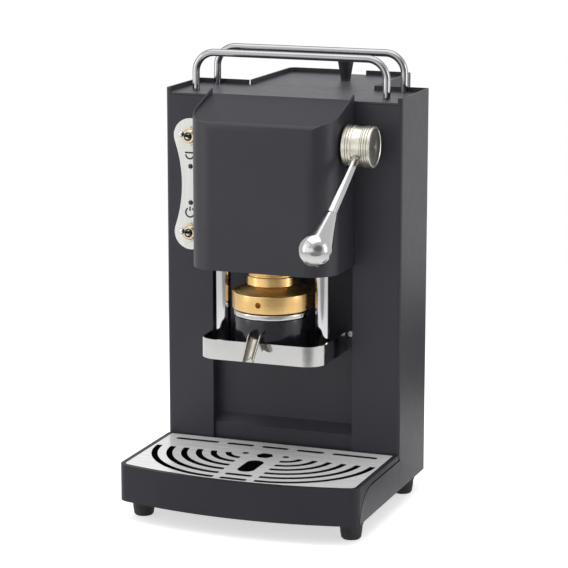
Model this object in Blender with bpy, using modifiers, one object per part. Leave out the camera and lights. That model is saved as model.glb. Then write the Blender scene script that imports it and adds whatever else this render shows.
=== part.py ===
"""A lever espresso machine for paper pods, built as an assembly of separate pieces.

Lengths are metres: X runs to the right, Y to the back and Z up. While the pieces are made,
Y = 0 is the front face of the main body. The empty that carries them then moves the whole
machine, so that the origin lies under the middle of it.
"""

import math

import bmesh
import bpy
from mathutils import Vector

# Sheet metal and fits
SHEET = 0.0015
BEND_RADIUS = 0.0025
SEAT_GAP = 0.0003
RUNNING_GAP = 0.0004
OVERRUN = 0.002
WELD_DISTANCE = 0.00002

# Tray, the wings beside it and the recess behind it
UNDERSIDE = 0.016
BASE_TOP = UNDERSIDE + SHEET
TRAY_HEIGHT = 0.030
TRAY_TOP = UNDERSIDE + TRAY_HEIGHT
TRAY_REAR = -0.0005
TRAY_WALL = 0.0020
TRAY_RIM = 0.0035
TRAY_FLOOR = 0.0020
TRAY_CORNER_RADIUS = 0.0090
TRAY_BOW = 0.012
WING_REACH = 0.0954
WING_FALL = 0.0055
WING_TOP = TRAY_TOP - WING_FALL
WING_CURVE = 0.028
WING_RELIEF = 0.0015
WING_STEP = 0.00005
TRAY_OVERHANG = 0.0086
TRAY_CORNER_Y = -WING_REACH - TRAY_OVERHANG
TRAY_NOSE_Y = TRAY_CORNER_Y - TRAY_BOW
RECESS_DEPTH = 0.0115
CREASE_RISE = 0.019
CREASE_TOP = TRAY_TOP + CREASE_RISE
CREASE_FALL = 0.007
CREASE_STEP = 0.0085

# Pod holder, bracket and spout
HOLDER_RADIUS = 0.0303
HOLDER_HEIGHT = 0.0332
HOLDER_EDGE = 0.0008
HOLDER_WALL = 0.0078
RING_OVERHANG = 0.0017
RING_RADIUS = HOLDER_RADIUS + RING_OVERHANG
RING_BACK_ROOM = 0.0010
GROUP_Y = RECESS_DEPTH - RING_BACK_ROOM - RING_RADIUS
CUP_ROOM = 0.080
BRACKET_BOTTOM = TRAY_TOP + CUP_ROOM
BRACKET_HEIGHT = 0.016
BRACKET_TOP = BRACKET_BOTTOM + BRACKET_HEIGHT
BRACKET_FLOOR = 0.0020
BRACKET_SEAT = BRACKET_BOTTOM + BRACKET_FLOOR + SEAT_GAP
BRACKET_NOSE_ROOM = 0.0032
BRACKET_REACH = HOLDER_RADIUS + BRACKET_NOSE_ROOM - GROUP_Y
BRACKET_RADIUS = 0.016
HOLDER_TOP = BRACKET_BOTTOM + HOLDER_HEIGHT
POD_RADIUS = HOLDER_RADIUS - HOLDER_WALL
POD_DEPTH = 0.0062
DRAIN_RADIUS = 0.0025
DRAIN_DEPTH = 0.0040
DRAIN_HEIGHT = HOLDER_TOP - POD_DEPTH - DRAIN_DEPTH
RIM_OVERHANG = 0.0008
RIM_RADIUS = HOLDER_RADIUS + RIM_OVERHANG
RIM_WIDTH = 0.0049
RIM_INNER_RADIUS = RIM_RADIUS - RIM_WIDTH
RIM_HEIGHT = 0.0045
RIM_EDGE = 0.0006
SPOUT_RADIUS = 0.0050
SPOUT_WALL = 0.0008
SPOUT_LIP = 0.0015
SPOUT_RISE = 0.0030
SPOUT_ROOT_Z = DRAIN_HEIGHT + SPOUT_RISE
SPOUT_RUN = 0.0045
SPOUT_BEND = 0.008
SPOUT_FALL = 0.0245
SPOUT_FALL_DEG = 50.0
SPOUT_NOTCH = 0.0075

# Brass head, its seal and screen
HEAD_OPENING = 0.0056
RING_BOTTOM = HOLDER_TOP + HEAD_OPENING
RING_HEIGHT = 0.0144
RING_TOP = RING_BOTTOM + RING_HEIGHT
RING_CHAMFER = 0.0008
CONE_HEIGHT = 0.0054
CONE_TOP = RING_TOP + CONE_HEIGHT
NECK_SET_IN = 0.0110
NECK_RADIUS = RING_RADIUS - NECK_SET_IN
NECK_GROOVE_RISE = 0.0079
NECK_GROOVE_Z = CONE_TOP + NECK_GROOVE_RISE
NECK_GROOVE_DEPTH = 0.0008
SEAL_OUTER_RADIUS = RIM_INNER_RADIUS - RUNNING_GAP
SEAL_WIDTH = 0.0036
SEAL_INNER_RADIUS = SEAL_OUTER_RADIUS - SEAL_WIDTH
SEAL_DEPTH = 0.0030
SCREEN_RADIUS = SEAL_INNER_RADIUS - SEAT_GAP * 2
SCREEN_THICKNESS = 0.0020
HEAD_HOLE_RADIUS = 0.0021
HEAD_HOLE_DEPTH = 0.004

# Columns, frame and crosshead of the lever group
COLUMN_RADIUS = 0.0060
COLUMN_CLEARANCE = 0.0004
COLUMN_TO_RING = 0.0040
COLUMN_X = RING_RADIUS + COLUMN_TO_RING + COLUMN_RADIUS
COLUMN_OUTER_X = COLUMN_X + COLUMN_RADIUS
BRACKET_SIDE_ROOM = 0.0040
BRACKET_HALF_WIDTH = COLUMN_OUTER_X + BRACKET_SIDE_ROOM
CROSSHEAD_SIDE = 0.0010
CROSSHEAD_HALF_WIDTH = COLUMN_OUTER_X + CROSSHEAD_SIDE
FRAME_SIDE_ROOM = 0.0030
FRAME_HALF_WIDTH = CROSSHEAD_HALF_WIDTH + FRAME_SIDE_ROOM
FRAME_SHEET = 0.0020
FRAME_RADIUS = 0.003
FRAME_TAB_WIDTH = 0.006
HOOD_BOTTOM_RISE = 0.0134
HOOD_BOTTOM = CONE_TOP + HOOD_BOTTOM_RISE
FRAME_SET_UP = 0.0040
FRAME_BOTTOM = HOOD_BOTTOM + FRAME_SET_UP
CROSSHEAD_RISE = 0.0090
CROSSHEAD_BOTTOM = FRAME_BOTTOM + CROSSHEAD_RISE
CROSSHEAD_THICKNESS = 0.010
CROSSHEAD_TOP = CROSSHEAD_BOTTOM + CROSSHEAD_THICKNESS
CROSSHEAD_REAR_REACH = 0.0140
CROSSHEAD_REAR = GROUP_Y + CROSSHEAD_REAR_REACH
COLUMN_RISE = 0.0397
COLUMN_TOP = CROSSHEAD_TOP + COLUMN_RISE
NECK_CLEARANCE = 0.0008
TIE_PLATE_THICKNESS = 0.003
TIE_PLATE_FRONT_REACH = 0.013
TIE_PLATE_REAR_REACH = 0.018
TIE_PLATE_FRONT = GROUP_Y - TIE_PLATE_FRONT_REACH
TIE_PLATE_REAR = GROUP_Y + TIE_PLATE_REAR_REACH

# Rack and pinion between the lever and the crosshead
LEVER_SET_FORWARD = 0.0010
LEVER_Y = GROUP_Y - LEVER_SET_FORWARD
LEVER_RISE = 0.0768
LEVER_Z = CROSSHEAD_TOP + LEVER_RISE
GEAR_MODULE = 0.001
PINION_TEETH = 21
PRESSURE_DEG = 20.0
TOOTH_ROOT_SHARE = 1.25
BACKLASH = 0.00012
GEAR_HALF_WIDTH = 0.007
RACK_TOP_REACH = 0.0033
RACK_TEETH = 8
RACK_BACK = 0.0052
RACK_LAND = 0.0013
PITCH_RADIUS = GEAR_MODULE * PINION_TEETH / 2
TOOTH_PITCH = math.pi * GEAR_MODULE
RACK_PITCH_Y = LEVER_Y - PITCH_RADIUS
CROSSHEAD_FRONT = RACK_PITCH_Y - RACK_BACK - RACK_LAND
FRAME_TOP_RISE = 0.0135
FRAME_TOP = LEVER_Z + FRAME_TOP_RISE

# Casing and the hood over the brewing group
BODY_TOP_RISE = 0.0357
BODY_TOP = LEVER_Z + BODY_TOP_RISE
DECK_SET_DOWN = 0.0038
DECK_TOP = BODY_TOP - DECK_SET_DOWN
DECK_BOTTOM = DECK_TOP - SHEET
HOOD_SIDE_ROOM = 0.0086
HOOD_HALF_WIDTH = FRAME_HALF_WIDTH + HOOD_SIDE_ROOM
HOOD_NOSE_ROOM = 0.0030
HOOD_REACH = RING_RADIUS + HOOD_NOSE_ROOM - GROUP_Y
HOOD_RADIUS = 0.0225
HOOD_FLAP_SET_DOWN = 0.0030
HOOD_FLAP_REAR = BODY_TOP - HOOD_FLAP_SET_DOWN
HOOD_FLAP_FALL = 0.0155
HOOD_FLAP_FRONT = HOOD_FLAP_REAR - HOOD_FLAP_FALL
HOOD_CHEEK_RISE = 0.0040
HOOD_EDGE_RADIUS = 0.0080
FRAME_SET_BACK = 0.0105
FRAME_REACH = HOOD_REACH - FRAME_SET_BACK
STRIP_BEHIND_HOOD = 0.0006
STRIP_INNER = HOOD_HALF_WIDTH - STRIP_BEHIND_HOOD
STRIP_WIDTH = 0.040
HALF_WIDTH = STRIP_INNER + STRIP_WIDTH

# Water circuit inside the body
BOILER_RADIUS = 0.025
BOILER_FRONT_ROOM = 0.0035
BOILER_REAR_ROOM = 0.0045
BOILER_Y = RECESS_DEPTH + SHEET + BOILER_FRONT_ROOM + BOILER_RADIUS
BODY_DEPTH = BOILER_Y + BOILER_RADIUS + BOILER_REAR_ROOM
BOILER_SET_DOWN = 0.0515
BOILER_TOP = BODY_TOP - BOILER_SET_DOWN
BOILER_HEIGHT = 0.090
BOILER_BOTTOM = BOILER_TOP - BOILER_HEIGHT
BOILER_DOME = 0.006
BOILER_PORT_RADIUS = 0.005
BOILER_PORT_LENGTH = 0.005
BOILER_PORT_DROP = 0.030
BOILER_PORT_Z = BOILER_TOP - BOILER_PORT_DROP
STRAP_RISE = 0.020
STRAP_BOTTOM = BOILER_BOTTOM + STRAP_RISE
STRAP_HEIGHT = 0.014
STRAP_SIDE = 0.006
STRAP_HALF_WIDTH = BOILER_RADIUS + STRAP_SIDE
STRAP_SET_IN = 0.002
STRAP_REAR = BOILER_Y - STRAP_SET_IN
PUMP_HALF_LENGTH = 0.029
PUMP_RADIUS = 0.018
PUMP_END_RADIUS = 0.011
PUMP_END_LENGTH = 0.009
PUMP_SIDE_ROOM = 0.0105
PUMP_FRONT_ROOM = 0.0065
PUMP_FLOOR_ROOM = 0.0115
PUMP_X = PUMP_HALF_LENGTH + PUMP_END_LENGTH + PUMP_SIDE_ROOM + SHEET - HALF_WIDTH
PUMP_Y = RECESS_DEPTH + SHEET + PUMP_FRONT_ROOM + PUMP_RADIUS
PUMP_Z = BASE_TOP + PUMP_FLOOR_ROOM + PUMP_RADIUS
SADDLE_HALF_LENGTH = 0.015
SADDLE_HALF_WIDTH = 0.016
BARB_RADIUS = 0.0022
BARB_LENGTH = 0.006
BARB_HEIGHT = 0.0065
HOSE_RADIUS = 0.0030
HOSE_PASSAGE = 0.0070
HOSE_STRAIGHT = 0.007
HOSE_BEND = 0.018
GROUP_HOSE_SET_BACK = 0.004
GROUP_HOSE_Y = GROUP_Y + GROUP_HOSE_SET_BACK
FITTING_HEIGHT = 0.010
FITTING_RADIUS = 0.0040

# Rear housing, water tank and its lid
HOUSING_WIDTH = 0.110
HOUSING_DEPTH = 0.097
HOUSING_HALF = HOUSING_WIDTH / 2
HOUSING_REAR = BODY_DEPTH + HOUSING_DEPTH
HOUSING_FRONT = BODY_DEPTH - SHEET + SEAT_GAP * 2
HOUSING_RADIUS = 0.006
SEAM_Y = HOUSING_FRONT + SHEET
FLANGE_END = HOUSING_HALF + SEAT_GAP
RIM_NOTCH_WIDTH = 0.014
TANK_CLEARANCE = 0.0010
TANK_WALL = 0.0020
TANK_FLOOR_HEIGHT = 0.020
TANK_RADIUS = 0.007
TANK_VALVE_SET_BACK = 0.024
TANK_VALVE_Y = BODY_DEPTH + TANK_VALVE_SET_BACK
VALVE_OUTER_RADIUS = 0.009
VALVE_SOCKET_RADIUS = 0.0056
VALVE_HEIGHT = 0.012
VALVE_SOCKET_DEPTH = 0.004
SPIGOT_PLAY = 0.0006
SPIGOT_RADIUS = VALVE_SOCKET_RADIUS - SPIGOT_PLAY
SPIGOT_BORE = 0.0030
HOSE_NOTCH_WIDTH = 0.014
LID_KNOB_X = 0.010
LID_KNOB_SET_BACK = 0.054
LID_KNOB_Y = BODY_DEPTH + LID_KNOB_SET_BACK
LID_KNOB_HEIGHT = 0.022
LID_KNOB_TOP_RADIUS = 0.0068
LID_KNOB_FOOT_RADIUS = 0.0042

# Feet
FOOT_INSET_X = 0.0123
FOOT_INSET_FRONT = 0.0151
FOOT_INSET_REAR = 0.0208
FOOT_X = HALF_WIDTH - FOOT_INSET_X
FOOT_FRONT_Y = FOOT_INSET_FRONT - WING_REACH
FOOT_REAR_Y = BODY_DEPTH - FOOT_INSET_REAR
FOOT_TOP_RADIUS = 0.00975
FOOT_BOTTOM_RADIUS = 0.00780
FOOT_EDGE = 0.0012

# Cup rails
RAIL_RADIUS = 0.0030
RAIL_INSET = 0.019
RAIL_HALF_SPAN = HALF_WIDTH - RAIL_INSET
RAIL_RISE = 0.0313
RAIL_TOP = DECK_TOP + RAIL_RISE
RAIL_BEND = 0.016
RAIL_FRONT_Y = 0.018
RAIL_REAR_INSET = 0.007
RAIL_REAR_Y = BODY_DEPTH - RAIL_REAR_INSET

# Lever and its shaft
LEVER_REST_DEG = 31.1
SHAFT_RADIUS = 0.0060
SHAFT_HOLE_CLEARANCE = 0.0010
SHAFT_OVERHANG = 0.0045
SHAFT_LEFT = -FRAME_HALF_WIDTH - SHAFT_OVERHANG
BUSHING_WALL = 0.0019
BUSHING_FLANGE = 0.0020
HUB_GAP = 0.0016
HUB_INNER_X = HOOD_HALF_WIDTH + HUB_GAP
HUB_WAIST_START = 0.0075
HUB_WAIST_LENGTH = 0.0080
HUB_HEAD_LENGTH = 0.0075
HUB_LENGTH = HUB_WAIST_START + HUB_WAIST_LENGTH + HUB_HEAD_LENGTH
HUB_MIDDLE_X = HUB_INNER_X + HUB_WAIST_START + HUB_WAIST_LENGTH / 2
HUB_RADIUS = 0.0163
HUB_WAIST_DEPTH = 0.0006
HUB_WAIST_RADIUS = HUB_RADIUS - HUB_WAIST_DEPTH
HUB_GROOVE_DEPTH = 0.0010
HUB_GROOVE_WIDTH = 0.0010
HUB_BORE_DEPTH = 0.0110
HUB_CHAMFER = 0.0006
HUB_FACE_RECESS = 0.0004
HUB_FACE_RIM = 0.0016
HUB_FACE_RADIUS = HUB_RADIUS - HUB_FACE_RIM
ROD_RADIUS = 0.0038
ROD_SOCKET_DEPTH = 0.0042
ROD_START = HUB_WAIST_RADIUS - ROD_SOCKET_DEPTH
KNOB_NECK = 0.0818
KNOB_NECK_WALL = 0.0012
KNOB_NECK_RADIUS = ROD_RADIUS + KNOB_NECK_WALL
KNOB_LENGTH = 0.0396
KNOB_CENTRE = KNOB_NECK + KNOB_LENGTH
KNOB_RADIUS = 0.0126
KNOB_FLARE_SHARE = 1.10
KNOB_NOSE_Y = LEVER_Y - KNOB_CENTRE * math.cos(math.radians(LEVER_REST_DEG)) - KNOB_RADIUS
MIDDLE_Y = (HOUSING_REAR + KNOB_NOSE_Y) / 2

# Switches and lamps on the left front strip
PLATE_INSET = 0.0185
PLATE_X = -STRIP_INNER - PLATE_INSET
PLATE_LOBE_RADIUS = 0.0143
PLATE_WAIST_HALF = 0.0076
PLATE_THICKNESS = 0.0010
SWITCH_SET_DOWN = 0.0383
SWITCH_SPACING = 0.0788
SWITCH_UPPER_Z = BODY_TOP - SWITCH_SET_DOWN
SWITCH_LOWER_Z = SWITCH_UPPER_Z - SWITCH_SPACING
LAMP_UPPER_DROP = 0.0248
LAMP_LOWER_RISE = 0.0243
LAMP_UPPER_Z = SWITCH_UPPER_Z - LAMP_UPPER_DROP
LAMP_LOWER_Z = SWITCH_LOWER_Z + LAMP_LOWER_RISE
THREAD_RADIUS = 0.0055
THREAD_REACH = 0.0095
THREAD_WALL = 0.0019
THREAD_BORE = THREAD_RADIUS - THREAD_WALL
NUT_OVERHANG = 0.0023
NUT_RADIUS = THREAD_RADIUS + NUT_OVERHANG
NUT_HEIGHT = 0.0022
SWITCH_BODY_WIDTH = 0.013
SWITCH_BODY_HEIGHT = 0.024
SWITCH_BODY_DEPTH = 0.022
TOGGLE_PIVOT = 0.0050
TOGGLE_PLAY = 0.0005
TOGGLE_PIVOT_RADIUS = THREAD_BORE - TOGGLE_PLAY
TOGGLE_STEM_RADIUS = 0.0012
TOGGLE_TIP_RADIUS = 0.0025
TOGGLE_LENGTH = 0.0180
TOGGLE_TILT_DEG = 15.0
LAMP_RADIUS = 0.0017
LAMP_PROUD = 0.0012
LAMP_DEPTH = 0.0040

# Grille
GRILLE_THICKNESS = 0.0015
GRILLE_LEDGE = 0.0025
GRILLE_GAP = 0.0005
SLOT_WIDTH = 0.0042
BACK_SLOT_SET_IN = 0.0143
BACK_SLOT_Y = TRAY_REAR - BACK_SLOT_SET_IN
BACK_SLOT_SHARES = ((-0.87, -0.49), (-0.42, -0.185), (-0.115, 0.115), (0.185, 0.42), (0.49, 0.87))
NOSE_SLOT_HALF = 0.011
NOSE_SLOT_MARGIN = 0.0086
NOSE_SLOT_PITCH = 0.0117
NOSE_SLOT_FRONT_Y = TRAY_NOSE_Y + NOSE_SLOT_MARGIN
NOSE_SLOT_REAR_Y = NOSE_SLOT_FRONT_Y + NOSE_SLOT_PITCH
RIPPLE_COUNT = 6
RIPPLE_CENTRE_X = 0.017
RIPPLE_SET_IN = 0.0212
RIPPLE_CENTRE_Y = BACK_SLOT_Y - RIPPLE_SET_IN
RIPPLE_OVERLAP = 0.0028
RIPPLE_TOP_Y = RIPPLE_CENTRE_Y - RIPPLE_OVERLAP
RIPPLE_FIRST_X = 0.0143
RIPPLE_FIRST_Y = 0.0142
RIPPLE_SIDE_MARGIN = 0.0087
RIPPLE_NOSE_MARGIN = 0.0093
RIPPLE_LAST_X = HALF_WIDTH - RIPPLE_SIDE_MARGIN - RIPPLE_CENTRE_X
RIPPLE_LAST_Y = RIPPLE_CENTRE_Y - RIPPLE_NOSE_MARGIN - TRAY_NOSE_Y
RIPPLE_PITCH_X = (RIPPLE_LAST_X - RIPPLE_FIRST_X) / (RIPPLE_COUNT - 1)
RIPPLE_PITCH_Y = (RIPPLE_LAST_Y - RIPPLE_FIRST_Y) / (RIPPLE_COUNT - 1)
OVAL_HALF_WIDTH = 0.007
OVAL_FRONT_MARGIN = 0.0092
OVAL_REAR_MARGIN = 0.0175
OVAL_FRONT = NOSE_SLOT_REAR_Y + OVAL_FRONT_MARGIN
OVAL_REAR = RIPPLE_CENTRE_Y - OVAL_REAR_MARGIN
HEX_RADIUS = 0.0072
HEX_SET_OUT = 0.0026
HEX_Y = RIPPLE_CENTRE_Y - HEX_SET_OUT
PIN_HOLE_X = 0.0173
PIN_HOLE_SET_OUT = 0.0006
PIN_HOLE_Y = RIPPLE_CENTRE_Y - PIN_HOLE_SET_OUT
PIN_HOLE_RADIUS = 0.0027

# Rear details and screws
GLAND_INSET = 0.022
GLAND_X = GLAND_INSET - HALF_WIDTH
GLAND_RISE = 0.0245
GLAND_Z = BASE_TOP + GLAND_RISE
GLAND_RADIUS = 0.0068
GLAND_RIM = 0.0022
GLAND_FLANGE_RADIUS = GLAND_RADIUS + GLAND_RIM
GLAND_FLANGE = 0.0025
GLAND_WALL = 0.0031
GLAND_BORE = GLAND_RADIUS - GLAND_WALL
GLAND_LENGTH = 0.010
VENT_COUNT = 6
VENT_HEIGHT = 0.0035
VENT_PITCH = 0.009
VENT_RISE = 0.064
VENT_LOW_Z = UNDERSIDE + VENT_RISE
VENT_INSET = 0.008
SCREW_INSET = 0.0046
SCREW_X = STRIP_INNER - SCREW_INSET
SCREW_RISE = 0.0142
SCREW_Z = BRACKET_BOTTOM + SCREW_RISE
SCREW_HEAD_RADIUS = 0.0030
SCREW_HEAD_HEIGHT = 0.0018
SCREW_SHANK_RADIUS = 0.0017
SCREW_SHANK_LENGTH = 0.006
SCREW_SOCKET_RADIUS = 0.0013
SCREW_SOCKET_DEPTH = 0.0010

# Counts of facets
ROUND_STEPS = 32
SMALL_STEPS = 16
CORNER_STEPS = 5
LARGE_CORNER_STEPS = 8
SLOT_STEPS = 4
RIPPLE_STEPS = 9
BOW_STEPS = 14
FLANK_STEPS = 3

FACING = {"X": (math.pi / 2, 0, math.pi / 2), "Y": (math.pi / 2, 0, 0), "Z": (0, 0, 0)}


# Scene, collections and materials

def clear_scene():
    for old in list(bpy.data.objects):
        bpy.data.objects.remove(old, do_unlink=True)


def new_collection(name):
    made = bpy.data.collections.new(name)
    bpy.context.scene.collection.children.link(made)
    return made


clear_scene()
PARTS = new_collection("lever_espresso_machine")
CUTTERS = new_collection("cutters")
CUTTERS.hide_render = True


def new_material(name, colour, roughness, metallic):
    made = bpy.data.materials.new(name)
    made.use_nodes = True
    shader = made.node_tree.nodes["Principled BSDF"]
    shader.inputs["Base Color"].default_value = (*colour, 1)
    shader.inputs["Roughness"].default_value = roughness
    shader.inputs["Metallic"].default_value = metallic
    return made


BLACK_COAT = ("black_coat", (0.045, 0.045, 0.050), 0.55, 0.0)
DECK_COAT = ("deck_coat", (0.090, 0.088, 0.095), 0.50, 0.0)
CHROME = ("chrome", (0.80, 0.80, 0.80), 0.08, 1.0)
POLISHED_STEEL = ("polished_steel", (0.72, 0.72, 0.71), 0.20, 1.0)
BRUSHED_STEEL = ("brushed_steel", (0.62, 0.62, 0.61), 0.35, 1.0)
SATIN_NICKEL = ("satin_nickel", (0.60, 0.57, 0.52), 0.30, 1.0)
BRASS = ("brass", (0.83, 0.58, 0.24), 0.22, 1.0)
BRONZE = ("bronze", (0.50, 0.33, 0.18), 0.40, 1.0)
GEAR_STEEL = ("gear_steel", (0.45, 0.45, 0.46), 0.40, 1.0)
ZINC_STEEL = ("zinc_steel", (0.55, 0.56, 0.58), 0.45, 1.0)
BLACK_PLASTIC = ("black_plastic", (0.025, 0.025, 0.028), 0.40, 0.0)
CLEAR_PLASTIC = ("clear_plastic", (0.70, 0.76, 0.80), 0.15, 0.0)
RUBBER = ("rubber", (0.020, 0.020, 0.020), 0.80, 0.0)
SILICONE = ("silicone", (0.55, 0.10, 0.06), 0.60, 0.0)
WHITE_TUBE = ("white_tube", (0.80, 0.80, 0.78), 0.45, 0.0)
LAMP_LENS = ("lamp_lens", (0.12, 0.02, 0.02), 0.20, 0.0)


# Outlines in a plane

def arc(centre, radius, start_deg, end_deg, steps):
    """Points along a circle, both ends included."""
    angles = [math.radians(start_deg + (end_deg - start_deg) * i / steps) for i in range(steps + 1)]
    return [(centre[0] + radius * math.cos(a), centre[1] + radius * math.sin(a)) for a in angles]


def rounded(points, radii, steps=CORNER_STEPS, closed=True):
    """The outline with an arc at each corner. A radius of zero keeps the corner sharp."""
    made = []
    count = len(points)
    for i, (point, radius) in enumerate(zip(points, radii)):
        if not radius or (not closed and i in (0, count - 1)):
            made.append(tuple(point))
            continue
        corner = Vector(point)
        before = (Vector(points[i - 1]) - corner).normalized()
        after = (Vector(points[(i + 1) % count]) - corner).normalized()
        half = before.angle(after) / 2
        centre = corner + (before + after).normalized() * radius / math.sin(half)
        first = corner + before * radius / math.tan(half) - centre
        last = corner + after * radius / math.tan(half) - centre
        swing = math.atan2(first.x * last.y - first.y * last.x, first.dot(last))
        for step in range(steps + 1):
            turn = swing * step / steps
            made.append((
                centre.x + first.x * math.cos(turn) - first.y * math.sin(turn),
                centre.y + first.x * math.sin(turn) + first.y * math.cos(turn),
            ))
    return made


def rectangle(low, high, radius=0, steps=CORNER_STEPS):
    corners = [(low[0], low[1]), (high[0], low[1]), (high[0], high[1]), (low[0], high[1])]
    return rounded(corners, [radius] * 4, steps)


def slot(start, end, width, steps=SLOT_STEPS):
    """A slot with round ends between two points on its centre line."""
    along = Vector(end) - Vector(start)
    heading = math.degrees(math.atan2(along.y, along.x))
    tail = arc(start, width / 2, heading + 90, heading + 270, steps)
    return tail + arc(end, width / 2, heading - 90, heading + 90, steps)


def circle(centre, radius, steps=SMALL_STEPS):
    return arc(centre, radius, 0, 360 - 360 / steps, steps - 1)


# Solids

def adopt(name, mesh):
    made = bpy.data.objects.new(name, mesh)
    PARTS.objects.link(made)
    made.parent = MACHINE
    return made


def smooth(mesh, angle_deg=35):
    mesh.shade_smooth()
    mesh.set_sharp_from_angle(angle=math.radians(angle_deg))


def as_mesh(name, curve):
    """The curve's shape as a closed mesh, with its caps welded on."""
    source = bpy.data.objects.new(name + "_curve", curve)
    PARTS.objects.link(source)
    bpy.context.view_layer.update()
    seen = source.evaluated_get(bpy.context.evaluated_depsgraph_get())
    mesh = bpy.data.meshes.new_from_object(seen)
    mesh.name = name
    work = bmesh.new()
    work.from_mesh(mesh)
    bmesh.ops.remove_doubles(work, verts=work.verts, dist=WELD_DISTANCE)
    bmesh.ops.recalc_face_normals(work, faces=work.faces)
    work.to_mesh(mesh)
    work.free()
    bpy.data.objects.remove(source)
    bpy.data.curves.remove(curve)
    made = adopt(name, mesh)
    smooth(mesh)
    return made


def prism(name, loops, axis, low, high):
    """A flat outline with its holes, drawn out along an axis from low to high."""
    curve = bpy.data.curves.new(name, "CURVE")
    curve.dimensions = "2D"
    curve.fill_mode = "BOTH"
    curve.extrude = (high - low) / 2
    for loop in loops:
        spline = curve.splines.new("POLY")
        spline.points.add(len(loop) - 1)
        for point, place in zip(spline.points, loop):
            point.co = (place[0], place[1], 0, 1)
        spline.use_cyclic_u = True
    made = as_mesh(name, curve)
    made.rotation_euler = FACING[axis]
    made.location["XYZ".index(axis)] = (low + high) / 2
    return made


def box(name, low, high):
    """A block between two corners."""
    size = Vector(high) - Vector(low)
    mesh = bpy.data.meshes.new(name)
    work = bmesh.new()
    bmesh.ops.create_cube(work, size=1)
    bmesh.ops.scale(work, vec=size, verts=work.verts)
    work.to_mesh(mesh)
    work.free()
    made = adopt(name, mesh)
    made.location = (Vector(high) + Vector(low)) / 2
    return made


def rod(name, start, end, radius, steps=SMALL_STEPS):
    """A plain round bar between two points."""
    along = Vector(end) - Vector(start)
    mesh = bpy.data.meshes.new(name)
    work = bmesh.new()
    bmesh.ops.create_cone(
        work, cap_ends=True, segments=steps, radius1=radius, radius2=radius, depth=along.length)
    work.to_mesh(mesh)
    work.free()
    smooth(mesh)
    made = adopt(name, mesh)
    made.rotation_euler = along.to_track_quat("Z", "Y").to_euler()
    made.location = (Vector(start) + Vector(end)) / 2
    return made


def turned(name, profile, steps=ROUND_STEPS, first_deg=0):
    """A turned piece on the Z axis. The profile's (radius, height) pairs run from the top down.

    A corner between two of its flat facets lies at the first angle.
    """
    first = math.radians(first_deg)
    mesh = bpy.data.meshes.new(name)
    work = bmesh.new()
    corners = [work.verts.new((radius * math.cos(first), radius * math.sin(first), height))
               for radius, height in profile]
    edges = [work.edges.new(pair) for pair in zip(corners, corners[1:])]
    bmesh.ops.spin(work, geom=corners + edges, cent=(0, 0, 0), axis=(0, 0, 1),
                   angle=2 * math.pi, steps=steps)
    bmesh.ops.remove_doubles(work, verts=work.verts, dist=WELD_DISTANCE)
    bmesh.ops.recalc_face_normals(work, faces=work.faces)
    work.to_mesh(mesh)
    work.free()
    smooth(mesh)
    return adopt(name, mesh)


def ring_profile(outer, inner, low, high, edge=0):
    """A ring's closed profile: down its outer side and back up its bore."""
    profile = [(inner, high), (outer - edge, high)]
    if edge:
        profile += [(outer, high - edge), (outer, low + edge)]
        profile += [(outer - edge, low)]
    else:
        profile += [(outer, low)]
    return profile + [(inner, low), (inner, high)]


def tube(name, points, radius, resolution=2, place=(0, 0, 0)):
    """A round tube along a run of points."""
    curve = bpy.data.curves.new(name, "CURVE")
    curve.dimensions = "3D"
    curve.bevel_depth = radius
    curve.bevel_resolution = resolution
    curve.use_fill_caps = True
    spline = curve.splines.new("POLY")
    spline.points.add(len(points) - 1)
    for point, spot in zip(spline.points, points):
        point.co = (*spot, 1)
    made = as_mesh(name, curve)
    made.location = place
    return made


def smooth_route(points, steps=4):
    """A smooth run of points through a hose's own points."""
    route = []
    ends = [points[0]] + list(points) + [points[-1]]
    for i in range(1, len(ends) - 2):
        before, start, end, after = (Vector(p) for p in ends[i - 1:i + 3])
        for step in range(steps):
            t = step / steps
            route.append((
                start * 2 + (end - before) * t
                + (before * 2 - start * 5 + end * 4 - after) * t ** 2
                + (start * 3 - before - end * 3 + after) * t ** 3) / 2)
    route.append(Vector(points[-1]))
    return route


def bent_sheet(name, path, axis, low, high, thickness=SHEET):
    """A sheet folded along a path. Its thickness grows to the left of the path."""
    reach = (high - low) / 2
    mesh = bpy.data.meshes.new(name)
    work = bmesh.new()
    lower = [work.verts.new((x, y, -reach)) for x, y in path]
    upper = [work.verts.new((x, y, reach)) for x, y in path]
    for i in range(len(path) - 1):
        work.faces.new((lower[i], lower[i + 1], upper[i + 1], upper[i]))
    work.to_mesh(mesh)
    work.free()
    made = adopt(name, mesh)
    wall = made.modifiers.new("thickness", "SOLIDIFY")
    wall.thickness = thickness
    wall.offset = -1
    wall.use_even_offset = True
    made.rotation_euler = FACING[axis]
    made.location["XYZ".index(axis)] = (low + high) / 2
    return made


def combine(target, other, operation):
    """Cuts, joins or meets the target with another solid, which then counts as a helper."""
    step = target.modifiers.new(other.name, "BOOLEAN")
    step.operation = operation
    step.object = other
    step.solver = "EXACT"
    PARTS.objects.unlink(other)
    CUTTERS.objects.link(other)
    other.hide_render = True
    other.display_type = "WIRE"
    return target


def cut(target, *others):
    for other in others:
        combine(target, other, "DIFFERENCE")
    return target


def join(target, *others):
    for other in others:
        combine(target, other, "UNION")
    return target


def dress(made, look):
    """Gives the piece its own material."""
    name, colour, roughness, metallic = look
    made.data.materials.clear()
    made.data.materials.append(new_material(f"{made.name}_{name}", colour, roughness, metallic))
    return made


def empty(name, place, parent=None):
    made = bpy.data.objects.new(name, None)
    PARTS.objects.link(made)
    made.parent = parent
    made.location = place
    return made


def carry(axis_empty, *pieces):
    """Hangs the pieces on the empty that lies on their joint's axis."""
    for piece in pieces:
        piece.parent = axis_empty
        piece.location = Vector(piece.location) - axis_empty.location


MACHINE = empty("machine", (0, -MIDDLE_Y, 0))


# Casing

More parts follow.
